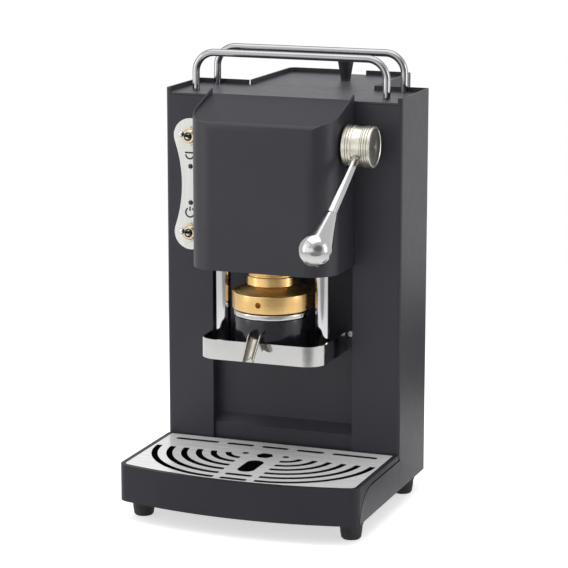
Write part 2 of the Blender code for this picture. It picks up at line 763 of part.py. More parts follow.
def wing_outline(grow, rear):
    """The low wing beside the tray, in Y and Z. Its front end is a quarter of an ellipse."""
    length = WING_CURVE + grow
    height = WING_TOP - UNDERSIDE + grow
    centre_y = WING_CURVE - WING_REACH
    turns = [math.pi / 2 * i / LARGE_CORNER_STEPS for i in range(LARGE_CORNER_STEPS + 1)]
    nose = [(centre_y - length * math.sin(a), UNDERSIDE + height * math.cos(a)) for a in turns]
    return [(rear, UNDERSIDE + height)] + nose + [(rear, UNDERSIDE)]


def side_panel(name, side, front_holes, rear_holes):
    """Front strip, side wall and rear flange in one bent sheet, with the wing beside the tray."""
    corners = [(STRIP_INNER, 0), (HALF_WIDTH, 0), (HALF_WIDTH, BODY_DEPTH), (FLANGE_END, BODY_DEPTH)]
    path = rounded(corners, [0, BEND_RADIUS, BEND_RADIUS, 0], closed=False)
    if side < 0:
        path = [(-x, y) for x, y in reversed(path)]
    panel = bent_sheet(name, path, "Z", UNDERSIDE, BODY_TOP)
    inner, outer = sorted((side * (STRIP_INNER - OVERRUN), side * (HALF_WIDTH + OVERRUN)))
    low_cut = box(name + "_foot_cut", (inner, -OVERRUN, UNDERSIDE - OVERRUN),
                  (outer, BEND_RADIUS + SHEET, WING_TOP + WING_RELIEF))
    inner, outer = sorted((side * (STRIP_INNER - OVERRUN), side * (HALF_WIDTH - BEND_RADIUS - SHEET)))
    top_cut = box(name + "_top_cut", (inner, -OVERRUN, DECK_BOTTOM - SEAT_GAP),
                  (outer, BEND_RADIUS, BODY_TOP + OVERRUN))
    cut(panel, low_cut, top_cut)
    low, high = sorted((side * (HALF_WIDTH - SHEET + WING_STEP), side * (HALF_WIDTH - WING_STEP)))
    join(panel, prism(name + "_wing", [wing_outline(0, BEND_RADIUS + SHEET * 3)], "X", low, high))
    vent_low, vent_high = sorted((side * (FLANGE_END + VENT_INSET), side * (HALF_WIDTH - VENT_INSET)))
    vents = []
    for i in range(VENT_COUNT):
        vent_z = VENT_LOW_Z + i * VENT_PITCH
        vents.append(slot((vent_low + VENT_HEIGHT / 2, vent_z), (vent_high - VENT_HEIGHT / 2, vent_z),
                          VENT_HEIGHT))
    cut(panel, prism(name + "_rear_holes", vents + rear_holes, "Y",
                     BODY_DEPTH - SHEET - OVERRUN, BODY_DEPTH + OVERRUN))
    if front_holes:
        cut(panel, prism(name + "_front_holes", front_holes, "Y", -OVERRUN, SHEET + OVERRUN))
    return dress(panel, BLACK_COAT)


def control_holes():
    """The holes for both switches and both lamps, in X and Z."""
    holes = [circle((PLATE_X, z), THREAD_RADIUS + SEAT_GAP) for z in (SWITCH_UPPER_Z, SWITCH_LOWER_Z)]
    return holes + [circle((PLATE_X, z), LAMP_RADIUS + SEAT_GAP, SMALL_STEPS // 2)
                    for z in (LAMP_UPPER_Z, LAMP_LOWER_Z)]


def make_casing():
    gland_hole = circle((GLAND_X, GLAND_Z), GLAND_RADIUS + SEAT_GAP)
    side_panel("side_panel_left", -1, control_holes(), [gland_hole])
    side_panel("side_panel_right", 1, [], [])

    inside = HALF_WIDTH - SHEET - SEAT_GAP
    tongue = HOUSING_HALF - SHEET - SEAT_GAP
    body_rear = BODY_DEPTH - SHEET - SEAT_GAP
    base_corners = [
        (-inside, -WING_REACH + SHEET), (inside, -WING_REACH + SHEET), (inside, body_rear),
        (tongue, body_rear), (tongue, HOUSING_REAR - SHEET - SEAT_GAP),
        (-tongue, HOUSING_REAR - SHEET - SEAT_GAP), (-tongue, body_rear), (-inside, body_rear)]
    inner_radius = HOUSING_RADIUS - SHEET - SEAT_GAP
    base = prism("base_plate", [rounded(base_corners, [0, 0, 0, 0, inner_radius, inner_radius, 0, 0])],
                 "Z", UNDERSIDE, BASE_TOP)
    dress(base, BLACK_COAT)

    fold = BEND_RADIUS - SHEET - SEAT_GAP
    notch_x = HALF_WIDTH - BEND_RADIUS - SHEET - SEAT_GAP
    notch_y = SHEET + SEAT_GAP
    right = [(notch_x, 0), (notch_x, notch_y + SEAT_GAP), (inside, notch_y), (inside, body_rear),
             (tongue, body_rear), (tongue, SEAM_Y)]
    folds = [0, 0, fold, fold, 0, 0]
    deck_corners = right + [(-x, y) for x, y in reversed(right)]
    deck = prism("cup_deck", [rounded(deck_corners, folds + folds[::-1])], "Z", DECK_BOTTOM, DECK_TOP)
    dress(deck, DECK_COAT)

    low_y = RECESS_DEPTH - CREASE_STEP
    crease_bottom = CREASE_TOP - CREASE_FALL
    panel_top = DECK_BOTTOM - SEAT_GAP
    profile = [(RECESS_DEPTH, panel_top), (RECESS_DEPTH, CREASE_TOP), (low_y, crease_bottom),
               (low_y, BASE_TOP + SEAT_GAP)]
    reach = STRIP_INNER + SHEET
    panel = bent_sheet("recess_panel", profile, "X", -reach, reach)
    for side in (-1, 1):
        near, far = sorted((side * STRIP_INNER, side * (reach - WING_STEP)))
        join(panel, box(f"recess_return_{side}", (near, SHEET + SEAT_GAP, crease_bottom),
                        (far, RECESS_DEPTH + SHEET / 2, panel_top - WING_STEP)))
        cut(panel, rod(f"recess_screw_hole_{side}", (side * SCREW_X, RECESS_DEPTH - OVERRUN, SCREW_Z),
                       (side * SCREW_X, RECESS_DEPTH + SHEET + OVERRUN, SCREW_Z),
                       SCREW_SHANK_RADIUS + SEAT_GAP))
    cut(panel, rod("hose_passage", (0, RECESS_DEPTH - OVERRUN, BOILER_PORT_Z),
                   (0, RECESS_DEPTH + SHEET + OVERRUN, BOILER_PORT_Z), HOSE_PASSAGE))
    dress(panel, BLACK_COAT)

    for side, word in ((-1, "left"), (1, "right")):
        screw = turned(f"recess_screw_{word}", [
            (0, SCREW_HEAD_HEIGHT - SCREW_SOCKET_DEPTH),
            (SCREW_SOCKET_RADIUS, SCREW_HEAD_HEIGHT - SCREW_SOCKET_DEPTH),
            (SCREW_SOCKET_RADIUS, SCREW_HEAD_HEIGHT),
            (SCREW_HEAD_RADIUS - SCREW_HEAD_HEIGHT / 3, SCREW_HEAD_HEIGHT),
            (SCREW_HEAD_RADIUS, SCREW_HEAD_HEIGHT / 2), (SCREW_HEAD_RADIUS, 0),
            (SCREW_SHANK_RADIUS, 0), (SCREW_SHANK_RADIUS, -SCREW_SHANK_LENGTH),
            (0, -SCREW_SHANK_LENGTH)], SMALL_STEPS)
        screw.rotation_euler = (math.pi / 2, 0, 0)
        screw.location = (side * SCREW_X, RECESS_DEPTH - SEAT_GAP, SCREW_Z)
        dress(screw, ZINC_STEEL)


def make_feet():
    height = UNDERSIDE - SEAT_GAP
    for word, x, y in (("front_left", -FOOT_X, FOOT_FRONT_Y), ("front_right", FOOT_X, FOOT_FRONT_Y),
                       ("rear_left", -FOOT_X, FOOT_REAR_Y), ("rear_right", FOOT_X, FOOT_REAR_Y)):
        foot = turned(f"foot_{word}", [
            (0, height), (FOOT_TOP_RADIUS, height), (FOOT_BOTTOM_RADIUS, FOOT_EDGE),
            (FOOT_BOTTOM_RADIUS - FOOT_EDGE, 0), (0, 0)], SMALL_STEPS)
        foot.location = (x, y, 0)
        dress(foot, RUBBER)


def make_rails():
    foot = DECK_TOP + SEAT_GAP
    corners = [(-RAIL_HALF_SPAN, foot), (-RAIL_HALF_SPAN, RAIL_TOP), (RAIL_HALF_SPAN, RAIL_TOP),
               (RAIL_HALF_SPAN, foot)]
    path = rounded(corners, [0, RAIL_BEND, RAIL_BEND, 0], LARGE_CORNER_STEPS, closed=False)
    for word, y in (("front", RAIL_FRONT_Y), ("rear", RAIL_REAR_Y)):
        rail = tube(f"rail_{word}", [(x, 0, z) for x, z in path], RAIL_RADIUS, 4, (0, y, 0))
        dress(rail, CHROME)


# Rear housing and water tank

def make_rear_housing():
    outer = [(-HOUSING_HALF, HOUSING_FRONT), (HOUSING_HALF, HOUSING_FRONT),
             (HOUSING_HALF, HOUSING_REAR), (-HOUSING_HALF, HOUSING_REAR)]
    half = HOUSING_HALF - SHEET
    inner = [(-half, SEAM_Y), (half, SEAM_Y), (half, HOUSING_REAR - SHEET),
             (-half, HOUSING_REAR - SHEET)]
    tight = BEND_RADIUS - SHEET
    wide = HOUSING_RADIUS - SHEET
    shell = prism("rear_housing", [
        rounded(outer, [BEND_RADIUS, BEND_RADIUS, HOUSING_RADIUS, HOUSING_RADIUS]),
        rounded(inner, [tight, tight, wide, wide])], "Z", UNDERSIDE, BODY_TOP)
    cut(shell, box("housing_sill_cut", (-half, HOUSING_FRONT - OVERRUN, UNDERSIDE - OVERRUN),
                   (half, SEAM_Y + OVERRUN, BASE_TOP + SEAT_GAP)))
    cut(shell, box("housing_deck_cut", (-half, HOUSING_FRONT - OVERRUN, DECK_BOTTOM - SEAT_GAP),
                   (half, SEAM_Y + OVERRUN, BODY_TOP + OVERRUN)))
    cut(shell, box("rim_notch", (0, HOUSING_REAR - SHEET - OVERRUN, DECK_TOP),
                   (RIM_NOTCH_WIDTH, HOUSING_REAR + OVERRUN, BODY_TOP + OVERRUN)))
    hose_z = BASE_TOP + SEAT_GAP + BARB_HEIGHT
    cut(shell, rod("housing_hose_hole", (0, HOUSING_FRONT - OVERRUN, hose_z),
                   (0, SEAM_Y + OVERRUN, hose_z), HOSE_RADIUS + TANK_CLEARANCE))
    dress(shell, BLACK_COAT)

    gland = turned("cord_gland", [
        (GLAND_BORE, GLAND_FLANGE), (GLAND_FLANGE_RADIUS - SEAT_GAP * 2, GLAND_FLANGE),
        (GLAND_FLANGE_RADIUS, GLAND_FLANGE / 2), (GLAND_FLANGE_RADIUS, 0), (GLAND_RADIUS, 0),
        (GLAND_RADIUS, -GLAND_LENGTH), (GLAND_BORE, -GLAND_LENGTH), (GLAND_BORE, GLAND_FLANGE)],
        SMALL_STEPS)
    gland.rotation_euler = (-math.pi / 2, 0, 0)
    gland.location = (GLAND_X, BODY_DEPTH + SEAT_GAP, GLAND_Z)
    dress(gland, BLACK_PLASTIC)


def tank_outline(inset):
    half = HOUSING_HALF - SHEET - TANK_CLEARANCE - inset
    front = SEAM_Y + TANK_CLEARANCE + inset
    rear = HOUSING_REAR - SHEET - TANK_CLEARANCE - inset
    return rectangle((-half, front), (half, rear), TANK_RADIUS - inset)


def make_tank():
    tank_low = BASE_TOP + SEAT_GAP
    tank_top = DECK_BOTTOM - SEAT_GAP
    floor = BASE_TOP + TANK_FLOOR_HEIGHT
    tank = prism("water_tank", [tank_outline(0)], "Z", tank_low, tank_top)
    cut(tank, prism("tank_inside", [tank_outline(TANK_WALL)], "Z", floor, tank_top + OVERRUN))
    cut(tank, prism("tank_skirt_inside", [tank_outline(TANK_WALL)], "Z", tank_low - OVERRUN,
                    floor - TANK_WALL))
    spigot_low = tank_low + VALVE_HEIGHT - VALVE_SOCKET_DEPTH + SEAT_GAP
    join(tank, rod("tank_spigot", (0, TANK_VALVE_Y, spigot_low),
                   (0, TANK_VALVE_Y, floor - TANK_WALL / 2), SPIGOT_RADIUS))
    cut(tank, rod("tank_outlet", (0, TANK_VALVE_Y, spigot_low - OVERRUN),
                  (0, TANK_VALVE_Y, floor + OVERRUN), SPIGOT_BORE))
    notch_top = tank_low + BARB_HEIGHT + HOSE_RADIUS + TANK_CLEARANCE
    notch_rear = SEAM_Y + TANK_CLEARANCE + TANK_WALL + OVERRUN
    cut(tank, box("tank_hose_notch", (-HOSE_NOTCH_WIDTH / 2, SEAM_Y - OVERRUN, tank_low - OVERRUN),
                  (HOSE_NOTCH_WIDTH / 2, notch_rear, notch_top)))
    dress(tank, CLEAR_PLASTIC)

    valve = turned("tank_valve", [
        (0, VALVE_HEIGHT - VALVE_SOCKET_DEPTH), (VALVE_SOCKET_RADIUS, VALVE_HEIGHT - VALVE_SOCKET_DEPTH),
        (VALVE_SOCKET_RADIUS, VALVE_HEIGHT), (VALVE_OUTER_RADIUS, VALVE_HEIGHT),
        (VALVE_OUTER_RADIUS, 0), (0, 0)], SMALL_STEPS, 180 / SMALL_STEPS)
    valve.location = (0, TANK_VALVE_Y, tank_low)
    barb_z = tank_low + BARB_HEIGHT
    barb_y = TANK_VALVE_Y - VALVE_OUTER_RADIUS
    join(valve, rod("valve_barb", (0, barb_y + OVERRUN, barb_z), (0, barb_y - BARB_LENGTH, barb_z),
                    BARB_RADIUS, SMALL_STEPS // 2))
    dress(valve, BLACK_PLASTIC)

    half = HOUSING_HALF - SHEET - SEAT_GAP
    lid_low = (-half, SEAM_Y + SEAT_GAP)
    lid_high = (half, HOUSING_REAR - SHEET - SEAT_GAP)
    front_radius = SEAT_GAP
    rear_radius = HOUSING_RADIUS - SHEET - SEAT_GAP
    corners = [lid_low, (lid_high[0], lid_low[1]), lid_high, (lid_low[0], lid_high[1])]
    lid = prism("tank_lid", [rounded(corners, [front_radius, front_radius, rear_radius, rear_radius])],
                "Z", DECK_BOTTOM, DECK_TOP)
    dress(lid, DECK_COAT)

    knob = turned("lid_knob", [
        (0, LID_KNOB_HEIGHT), (LID_KNOB_TOP_RADIUS - FOOT_EDGE, LID_KNOB_HEIGHT),
        (LID_KNOB_TOP_RADIUS, LID_KNOB_HEIGHT - FOOT_EDGE),
        (LID_KNOB_TOP_RADIUS, LID_KNOB_HEIGHT * 3 / 4),
        (LID_KNOB_FOOT_RADIUS, FOOT_EDGE), (LID_KNOB_FOOT_RADIUS, 0), (0, 0)], SMALL_STEPS)
    knob.location = (LID_KNOB_X, LID_KNOB_Y, DECK_TOP + SEAT_GAP)
    dress(knob, BLACK_PLASTIC)

    lift = empty("tank_lift", (0, TANK_VALVE_Y, tank_low), MACHINE)
    lid_lift = empty("lid_lift", (LID_KNOB_X, LID_KNOB_Y, DECK_BOTTOM), MACHINE)
    carry(lift, tank)
    carry(lid_lift, lid, knob)


# Hood

def hood_plan(inset, rear):
    half = HOOD_HALF_WIDTH - inset
    front = -HOOD_REACH + inset
    corners = [(-half, rear), (-half, front), (half, front), (half, rear)]
    radius = HOOD_RADIUS - inset
    return rounded(corners, [0, radius, radius, 0], LARGE_CORNER_STEPS)


def hood_line(height_rear, height_front, y):
    return height_rear + (height_rear - height_front) * y / HOOD_REACH


def hood_side(name, rear_z, front_z, front, low, radius):
    """A block whose upper side follows a sloping line, rounded at its front edge."""
    rear = OVERRUN * 2
    reach = HOOD_HALF_WIDTH + OVERRUN
    corners = [(rear, low), (front, low), (front, hood_line(rear_z, front_z, front)),
               (rear, hood_line(rear_z, front_z, rear))]
    return prism(name, [rounded(corners, [0, 0, radius, 0])], "X", -reach, reach)


def make_hood():
    top = HOOD_FLAP_REAR + HOOD_CHEEK_RISE
    tall = top + OVERRUN
    rear = -SEAT_GAP
    hood = prism("brew_hood", [hood_plan(0, rear)], "Z", HOOD_BOTTOM, tall)
    combine(hood, hood_side("hood_envelope", top, HOOD_FLAP_FRONT, -HOOD_REACH,
                            HOOD_BOTTOM - OVERRUN, HOOD_EDGE_RADIUS), "INTERSECT")
    cavity = prism("hood_cavity", [hood_plan(SHEET, OVERRUN)], "Z", HOOD_BOTTOM - OVERRUN, tall)
    combine(cavity, hood_side("hood_ceiling", HOOD_FLAP_REAR - SHEET, HOOD_FLAP_FRONT - SHEET,
                              -HOOD_REACH + SHEET, HOOD_BOTTOM - OVERRUN * 2,
                              HOOD_EDGE_RADIUS - SHEET), "INTERSECT")
    cut(hood, cavity)
    trough = prism("hood_trough", [hood_plan(SHEET, OVERRUN)], "Z", HOOD_BOTTOM, tall + OVERRUN)
    combine(trough, hood_side("hood_floor", HOOD_FLAP_REAR, HOOD_FLAP_FRONT,
                              -HOOD_REACH - OVERRUN, HOOD_BOTTOM - OVERRUN, 0), "DIFFERENCE")
    cut(hood, trough)
    cut(hood, rod("hood_shaft_hole", (HOOD_HALF_WIDTH - SHEET - OVERRUN, LEVER_Y, LEVER_Z),
                  (HOOD_HALF_WIDTH + OVERRUN, LEVER_Y, LEVER_Z),
                  SHAFT_RADIUS + SHAFT_HOLE_CLEARANCE))
    dress(hood, BLACK_COAT)


# Bracket, pod holder and spout

def bracket_plan(inset, rear):
    half = BRACKET_HALF_WIDTH - inset
    front = -BRACKET_REACH + inset
    radius = BRACKET_RADIUS - inset
    corners = [(-half, rear), (-half, front), (half, front), (half, rear)]
    return rounded(corners, [0, radius, radius, 0], LARGE_CORNER_STEPS)


def spout_path():
    """Places along the spout with their headings: level at first, then round a bend and down."""
    start_y = GROUP_Y - HOLDER_RADIUS - SEAT_GAP
    places = [((start_y, SPOUT_ROOT_Z), 0.0), ((start_y - SPOUT_RUN, SPOUT_ROOT_Z), 0.0)]
    centre_z = SPOUT_ROOT_Z - SPOUT_BEND
    for i in range(1, CORNER_STEPS + 1):
        turn = math.radians(SPOUT_FALL_DEG) * i / CORNER_STEPS
        places.append(((start_y - SPOUT_RUN - SPOUT_BEND * math.sin(turn),
                        centre_z + SPOUT_BEND * math.cos(turn)), turn))
    return places


def make_spout():
    """An open channel whose floor ends in a notch between its two side walls."""
    fall = math.radians(SPOUT_FALL_DEG)
    turns = [math.pi * (i / LARGE_CORNER_STEPS - 0.5) for i in range(LARGE_CORNER_STEPS + 1)]
    section = [(-SPOUT_RADIUS, SPOUT_LIP)]
    section += [(SPOUT_RADIUS * math.sin(a), -SPOUT_RADIUS * math.cos(a)) for a in turns]
    section += [(SPOUT_RADIUS, SPOUT_LIP)]
    mesh = bpy.data.meshes.new("coffee_spout")
    work = bmesh.new()
    rows = []
    for (y, z), turn in spout_path():
        rows.append([work.verts.new((x, y - rise * math.sin(turn), z + rise * math.cos(turn)))
                     for x, rise in section])
    (last_y, last_z), turn = spout_path()[-1]
    tip = []
    for x, rise in section:
        reach = SPOUT_FALL - SPOUT_NOTCH * (1 - abs(x) / SPOUT_RADIUS)
        tip.append(work.verts.new((
            x, last_y - reach * math.cos(fall) - rise * math.sin(fall),
            last_z - reach * math.sin(fall) + rise * math.cos(fall))))
    rows.append(tip)
    for row, following in zip(rows, rows[1:]):
        for i in range(len(section) - 1):
            work.faces.new((row[i], row[i + 1], following[i + 1], following[i]))
    bmesh.ops.recalc_face_normals(work, faces=work.faces)
    work.to_mesh(mesh)
    work.free()
    smooth(mesh)
    spout = adopt("coffee_spout", mesh)
    wall = spout.modifiers.new("thickness", "SOLIDIFY")
    wall.thickness = SPOUT_WALL
    wall.offset = 0
    wall.use_even_offset = True
    dress(spout, POLISHED_STEEL)


def make_pod_station():
    rear = RECESS_DEPTH - SEAT_GAP
    bracket = prism("group_bracket", [bracket_plan(0, rear)], "Z", BRACKET_BOTTOM, BRACKET_TOP)
    cut(bracket, prism("bracket_inside", [bracket_plan(SHEET, rear + OVERRUN)], "Z",
                       BRACKET_BOTTOM + BRACKET_FLOOR, BRACKET_TOP + OVERRUN))
    dress(bracket, POLISHED_STEEL)

    pod_floor = HOLDER_TOP - POD_DEPTH
    holder = turned("pod_holder", [
        (0, pod_floor), (POD_RADIUS - HOLDER_EDGE, pod_floor), (POD_RADIUS, HOLDER_TOP),
        (HOLDER_RADIUS - HOLDER_EDGE, HOLDER_TOP), (HOLDER_RADIUS, HOLDER_TOP - HOLDER_EDGE),
        (HOLDER_RADIUS, BRACKET_SEAT), (0, BRACKET_SEAT)], ROUND_STEPS, 180 / ROUND_STEPS)
    holder.location = (0, GROUP_Y, 0)
    cut(holder, rod("drain_down", (0, GROUP_Y, DRAIN_HEIGHT), (0, GROUP_Y, pod_floor + OVERRUN),
                    DRAIN_RADIUS, SMALL_STEPS))
    cut(holder, rod("drain_out", (0, GROUP_Y + DRAIN_RADIUS / 2, DRAIN_HEIGHT),
                    (0, GROUP_Y - HOLDER_RADIUS - OVERRUN, DRAIN_HEIGHT), DRAIN_RADIUS * 0.9,
                    SMALL_STEPS))
    dress(holder, BLACK_PLASTIC)

    rim_low = HOLDER_TOP + SEAT_GAP
    rim = turned("pod_holder_rim", ring_profile(
        RIM_RADIUS, RIM_INNER_RADIUS, rim_low, rim_low + RIM_HEIGHT, RIM_EDGE))
    rim.location = (0, GROUP_Y, 0)
    dress(rim, POLISHED_STEEL)
    make_spout()

    for side, word in ((-1, "left"), (1, "right")):
        column = rod(f"guide_column_{word}", (side * COLUMN_X, GROUP_Y, BRACKET_SEAT),
                     (side * COLUMN_X, GROUP_Y, COLUMN_TOP), COLUMN_RADIUS, ROUND_STEPS // 2)
        dress(column, CHROME)


# Frame of the lever group

def make_group_frame():
    corners = [(-FRAME_HALF_WIDTH, FRAME_TOP), (-FRAME_HALF_WIDTH, FRAME_BOTTOM),
               (FRAME_HALF_WIDTH, FRAME_BOTTOM), (FRAME_HALF_WIDTH, FRAME_TOP)]
    path = rounded(corners, [0, FRAME_RADIUS, FRAME_RADIUS, 0], closed=False)
    rear = RECESS_DEPTH - SEAT_GAP
    frame = bent_sheet("group_frame", path, "Y", -FRAME_REACH, rear, FRAME_SHEET)
    for side, word in ((-1, "left"), (1, "right")):
        near, far = sorted((side * (FRAME_HALF_WIDTH - FRAME_SHEET / 2),
                            side * (FRAME_HALF_WIDTH + FRAME_TAB_WIDTH)))
        join(frame, box(f"frame_tab_{word}", (near, rear - FRAME_SHEET, FRAME_BOTTOM + FRAME_RADIUS),
                        (far, rear, FRAME_TOP)))
        cut(frame, rod(f"frame_column_hole_{word}", (side * COLUMN_X, GROUP_Y, FRAME_BOTTOM - OVERRUN),
                       (side * COLUMN_X, GROUP_Y, FRAME_BOTTOM + FRAME_SHEET + OVERRUN),
                       COLUMN_RADIUS + COLUMN_CLEARANCE))
        inner, outer = sorted((side * (FRAME_HALF_WIDTH - FRAME_SHEET - OVERRUN),
                               side * (FRAME_HALF_WIDTH + OVERRUN)))
        cut(frame, rod(f"frame_bushing_hole_{word}", (inner, LEVER_Y, LEVER_Z),
                       (outer, LEVER_Y, LEVER_Z),
                       SHAFT_RADIUS + RUNNING_GAP + BUSHING_WALL + SEAT_GAP, ROUND_STEPS // 2))
    cut(frame, rod("frame_neck_hole", (0, GROUP_Y, FRAME_BOTTOM - OVERRUN),
                   (0, GROUP_Y, FRAME_BOTTOM + FRAME_SHEET + OVERRUN),
                   NECK_RADIUS + NECK_CLEARANCE, ROUND_STEPS))
    dress(frame, ZINC_STEEL)

    half = FRAME_HALF_WIDTH - FRAME_SHEET - SEAT_GAP
    plate_low = COLUMN_TOP + SEAT_GAP
    tie = box("column_tie_plate", (-half, TIE_PLATE_FRONT, plate_low),
              (half, TIE_PLATE_REAR, plate_low + TIE_PLATE_THICKNESS))
    notch_half = GEAR_HALF_WIDTH + TANK_CLEARANCE
    notch_rear = RACK_PITCH_Y + GEAR_MODULE + RUNNING_GAP
    cut(tie, box("tie_plate_notch", (-notch_half, TIE_PLATE_FRONT - OVERRUN, plate_low - OVERRUN),
                 (notch_half, notch_rear, plate_low + TIE_PLATE_THICKNESS + OVERRUN)))
    dress(tie, ZINC_STEEL)

    bore = SHAFT_RADIUS + RUNNING_GAP
    for side, word in ((-1, "left"), (1, "right")):
        bushing = turned(f"shaft_bushing_{word}", [
            (bore, BUSHING_FLANGE), (bore + BUSHING_WALL + BUSHING_FLANGE, BUSHING_FLANGE),
            (bore + BUSHING_WALL + BUSHING_FLANGE, SEAT_GAP), (bore + BUSHING_WALL, SEAT_GAP),
            (bore + BUSHING_WALL, -FRAME_SHEET - BUSHING_FLANGE), (bore, -FRAME_SHEET - BUSHING_FLANGE),
            (bore, BUSHING_FLANGE)], ROUND_STEPS // 2)
        bushing.rotation_euler = (0, side * math.pi / 2, 0)
        bushing.location = (side * FRAME_HALF_WIDTH, LEVER_Y, LEVER_Z)
        dress(bushing, BRONZE)


# Moving brew head

def make_brew_head():
    neck_top = CROSSHEAD_BOTTOM - SEAT_GAP
    groove = NECK_GROOVE_DEPTH
    head = turned("brass_head", [
        (0, neck_top), (NECK_RADIUS, neck_top), (NECK_RADIUS, NECK_GROOVE_Z + groove),
        (NECK_RADIUS - groove, NECK_GROOVE_Z), (NECK_RADIUS, NECK_GROOVE_Z - groove),
        (NECK_RADIUS, CONE_TOP), (RING_RADIUS - RING_CHAMFER, RING_TOP),
        (RING_RADIUS, RING_TOP - RING_CHAMFER),
        (RING_RADIUS, RING_BOTTOM + RING_CHAMFER), (RING_RADIUS - RING_CHAMFER, RING_BOTTOM),
        (SEAL_OUTER_RADIUS + SEAT_GAP, RING_BOTTOM),
        (SEAL_OUTER_RADIUS + SEAT_GAP, RING_BOTTOM + SEAL_DEPTH),
        (0, RING_BOTTOM + SEAL_DEPTH)], ROUND_STEPS, 180 / ROUND_STEPS)
    head.location = (0, GROUP_Y, 0)
    hole_z = (RING_TOP + RING_BOTTOM) / 2
    cut(head, rod("head_key_hole", (0, GROUP_Y - RING_RADIUS + HEAD_HOLE_DEPTH, hole_z),
                  (0, GROUP_Y - RING_RADIUS - OVERRUN, hole_z), HEAD_HOLE_RADIUS))
    dress(head, BRASS)

    seal_top = RING_BOTTOM + SEAL_DEPTH - SEAT_GAP
    seal_low = HOLDER_TOP + SEAT_GAP * 2 + SEAL_DEPTH
    seal = turned("head_seal", ring_profile(SEAL_OUTER_RADIUS, SEAL_INNER_RADIUS, seal_low, seal_top))
    seal.location = (0, GROUP_Y, 0)
    dress(seal, SILICONE)

    screen = turned("shower_screen", [
        (0, seal_top), (SCREEN_RADIUS, seal_top), (SCREEN_RADIUS, seal_top - SCREEN_THICKNESS),
        (0, seal_top - SCREEN_THICKNESS)])
    screen.location = (0, GROUP_Y, 0)
    dress(screen, BRUSHED_STEEL)

    crosshead = prism("head_crosshead", [
        rectangle((-CROSSHEAD_HALF_WIDTH, CROSSHEAD_FRONT), (CROSSHEAD_HALF_WIDTH, CROSSHEAD_REAR),
                  COLUMN_RADIUS),
        circle((-COLUMN_X, GROUP_Y), COLUMN_RADIUS + COLUMN_CLEARANCE),
        circle((COLUMN_X, GROUP_Y), COLUMN_RADIUS + COLUMN_CLEARANCE)],
        "Z", CROSSHEAD_BOTTOM, CROSSHEAD_TOP)
    dress(crosshead, ZINC_STEEL)

    fitting = turned("hose_fitting", [
        (0, FITTING_HEIGHT), (BARB_RADIUS, FITTING_HEIGHT), (HOSE_RADIUS, FITTING_HEIGHT / 2),
        (FITTING_RADIUS, FITTING_HEIGHT / 2), (FITTING_RADIUS, 0), (0, 0)], SMALL_STEPS // 2)
    fitting.location = (0, GROUP_HOSE_Y, CROSSHEAD_TOP + SEAT_GAP)
    dress(fitting, BRASS)

    slide = empty("group_slide", (0, GROUP_Y, CROSSHEAD_BOTTOM), MACHINE)
    carry(slide, head, seal, screen, crosshead, fitting, make_rack())


# Rack and pinion

def tooth_half_angle(radius):
    """Half of a tooth's angle at a radius, from its involute flanks."""
    base = PITCH_RADIUS * math.cos(math.radians(PRESSURE_DEG))

    def involute(r):
        pressure = math.acos(min(1, base / r))
        return math.tan(pressure) - pressure

    half_pitch = math.pi / (2 * PINION_TEETH) - BACKLASH / (2 * PITCH_RADIUS)
    return half_pitch + involute(PITCH_RADIUS) - involute(max(radius, base))


def pinion_outline():
    """The toothed wheel in Y and Z, with the middle of one tooth facing the rack."""
    base = PITCH_RADIUS * math.cos(math.radians(PRESSURE_DEG))
    root = PITCH_RADIUS - TOOTH_ROOT_SHARE * GEAR_MODULE
    tip = PITCH_RADIUS + GEAR_MODULE
    radii = [root] + [base + (tip - base) * i / FLANK_STEPS for i in range(FLANK_STEPS + 1)]
    outline = []
    for tooth in range(PINION_TEETH):
        middle = math.pi + 2 * math.pi * tooth / PINION_TEETH
        rising = [(radius, middle - tooth_half_angle(radius)) for radius in radii]
        falling = [(radius, middle + tooth_half_angle(radius)) for radius in reversed(radii)]
        outline += [(LEVER_Y + r * math.cos(a), LEVER_Z + r * math.sin(a)) for r, a in rising + falling]
    return outline


def rack_outline():
    """The rack in Y and Z, with a gap between teeth at the height of the shaft."""
    lean = math.tan(math.radians(PRESSURE_DEG))
    root_y = RACK_PITCH_Y - TOOTH_ROOT_SHARE * GEAR_MODULE
    tip_y = RACK_PITCH_Y + GEAR_MODULE
    half = TOOTH_PITCH / 4 - BACKLASH / 2
    foot = half + TOOTH_ROOT_SHARE * GEAR_MODULE * lean
    crown = half - GEAR_MODULE * lean
    back_y = RACK_PITCH_Y - RACK_BACK
    outline = [(root_y, LEVER_Z + RACK_TOP_REACH)]
    for tooth in range(RACK_TEETH):
        middle = LEVER_Z + TOOTH_PITCH / 2 - TOOTH_PITCH * tooth
        outline += [(root_y, middle + foot), (tip_y, middle + crown), (tip_y, middle - crown),
                    (root_y, middle - foot)]
    return outline + [(root_y, CROSSHEAD_TOP + SEAT_GAP), (back_y, CROSSHEAD_TOP + SEAT_GAP),
                      (back_y, LEVER_Z + RACK_TOP_REACH)]


def make_rack():
    rack = prism("drive_rack", [rack_outline()], "X", -GEAR_HALF_WIDTH, GEAR_HALF_WIDTH)
    return dress(rack, GEAR_STEEL)


# Lever

def groove(profile, x, radius):
    """Adds one small groove to a profile that runs down along the piece."""
    half = HUB_GROOVE_WIDTH / 2
    profile += [(radius, x + half), (radius - HUB_GROOVE_DEPTH, x), (radius, x - half)]


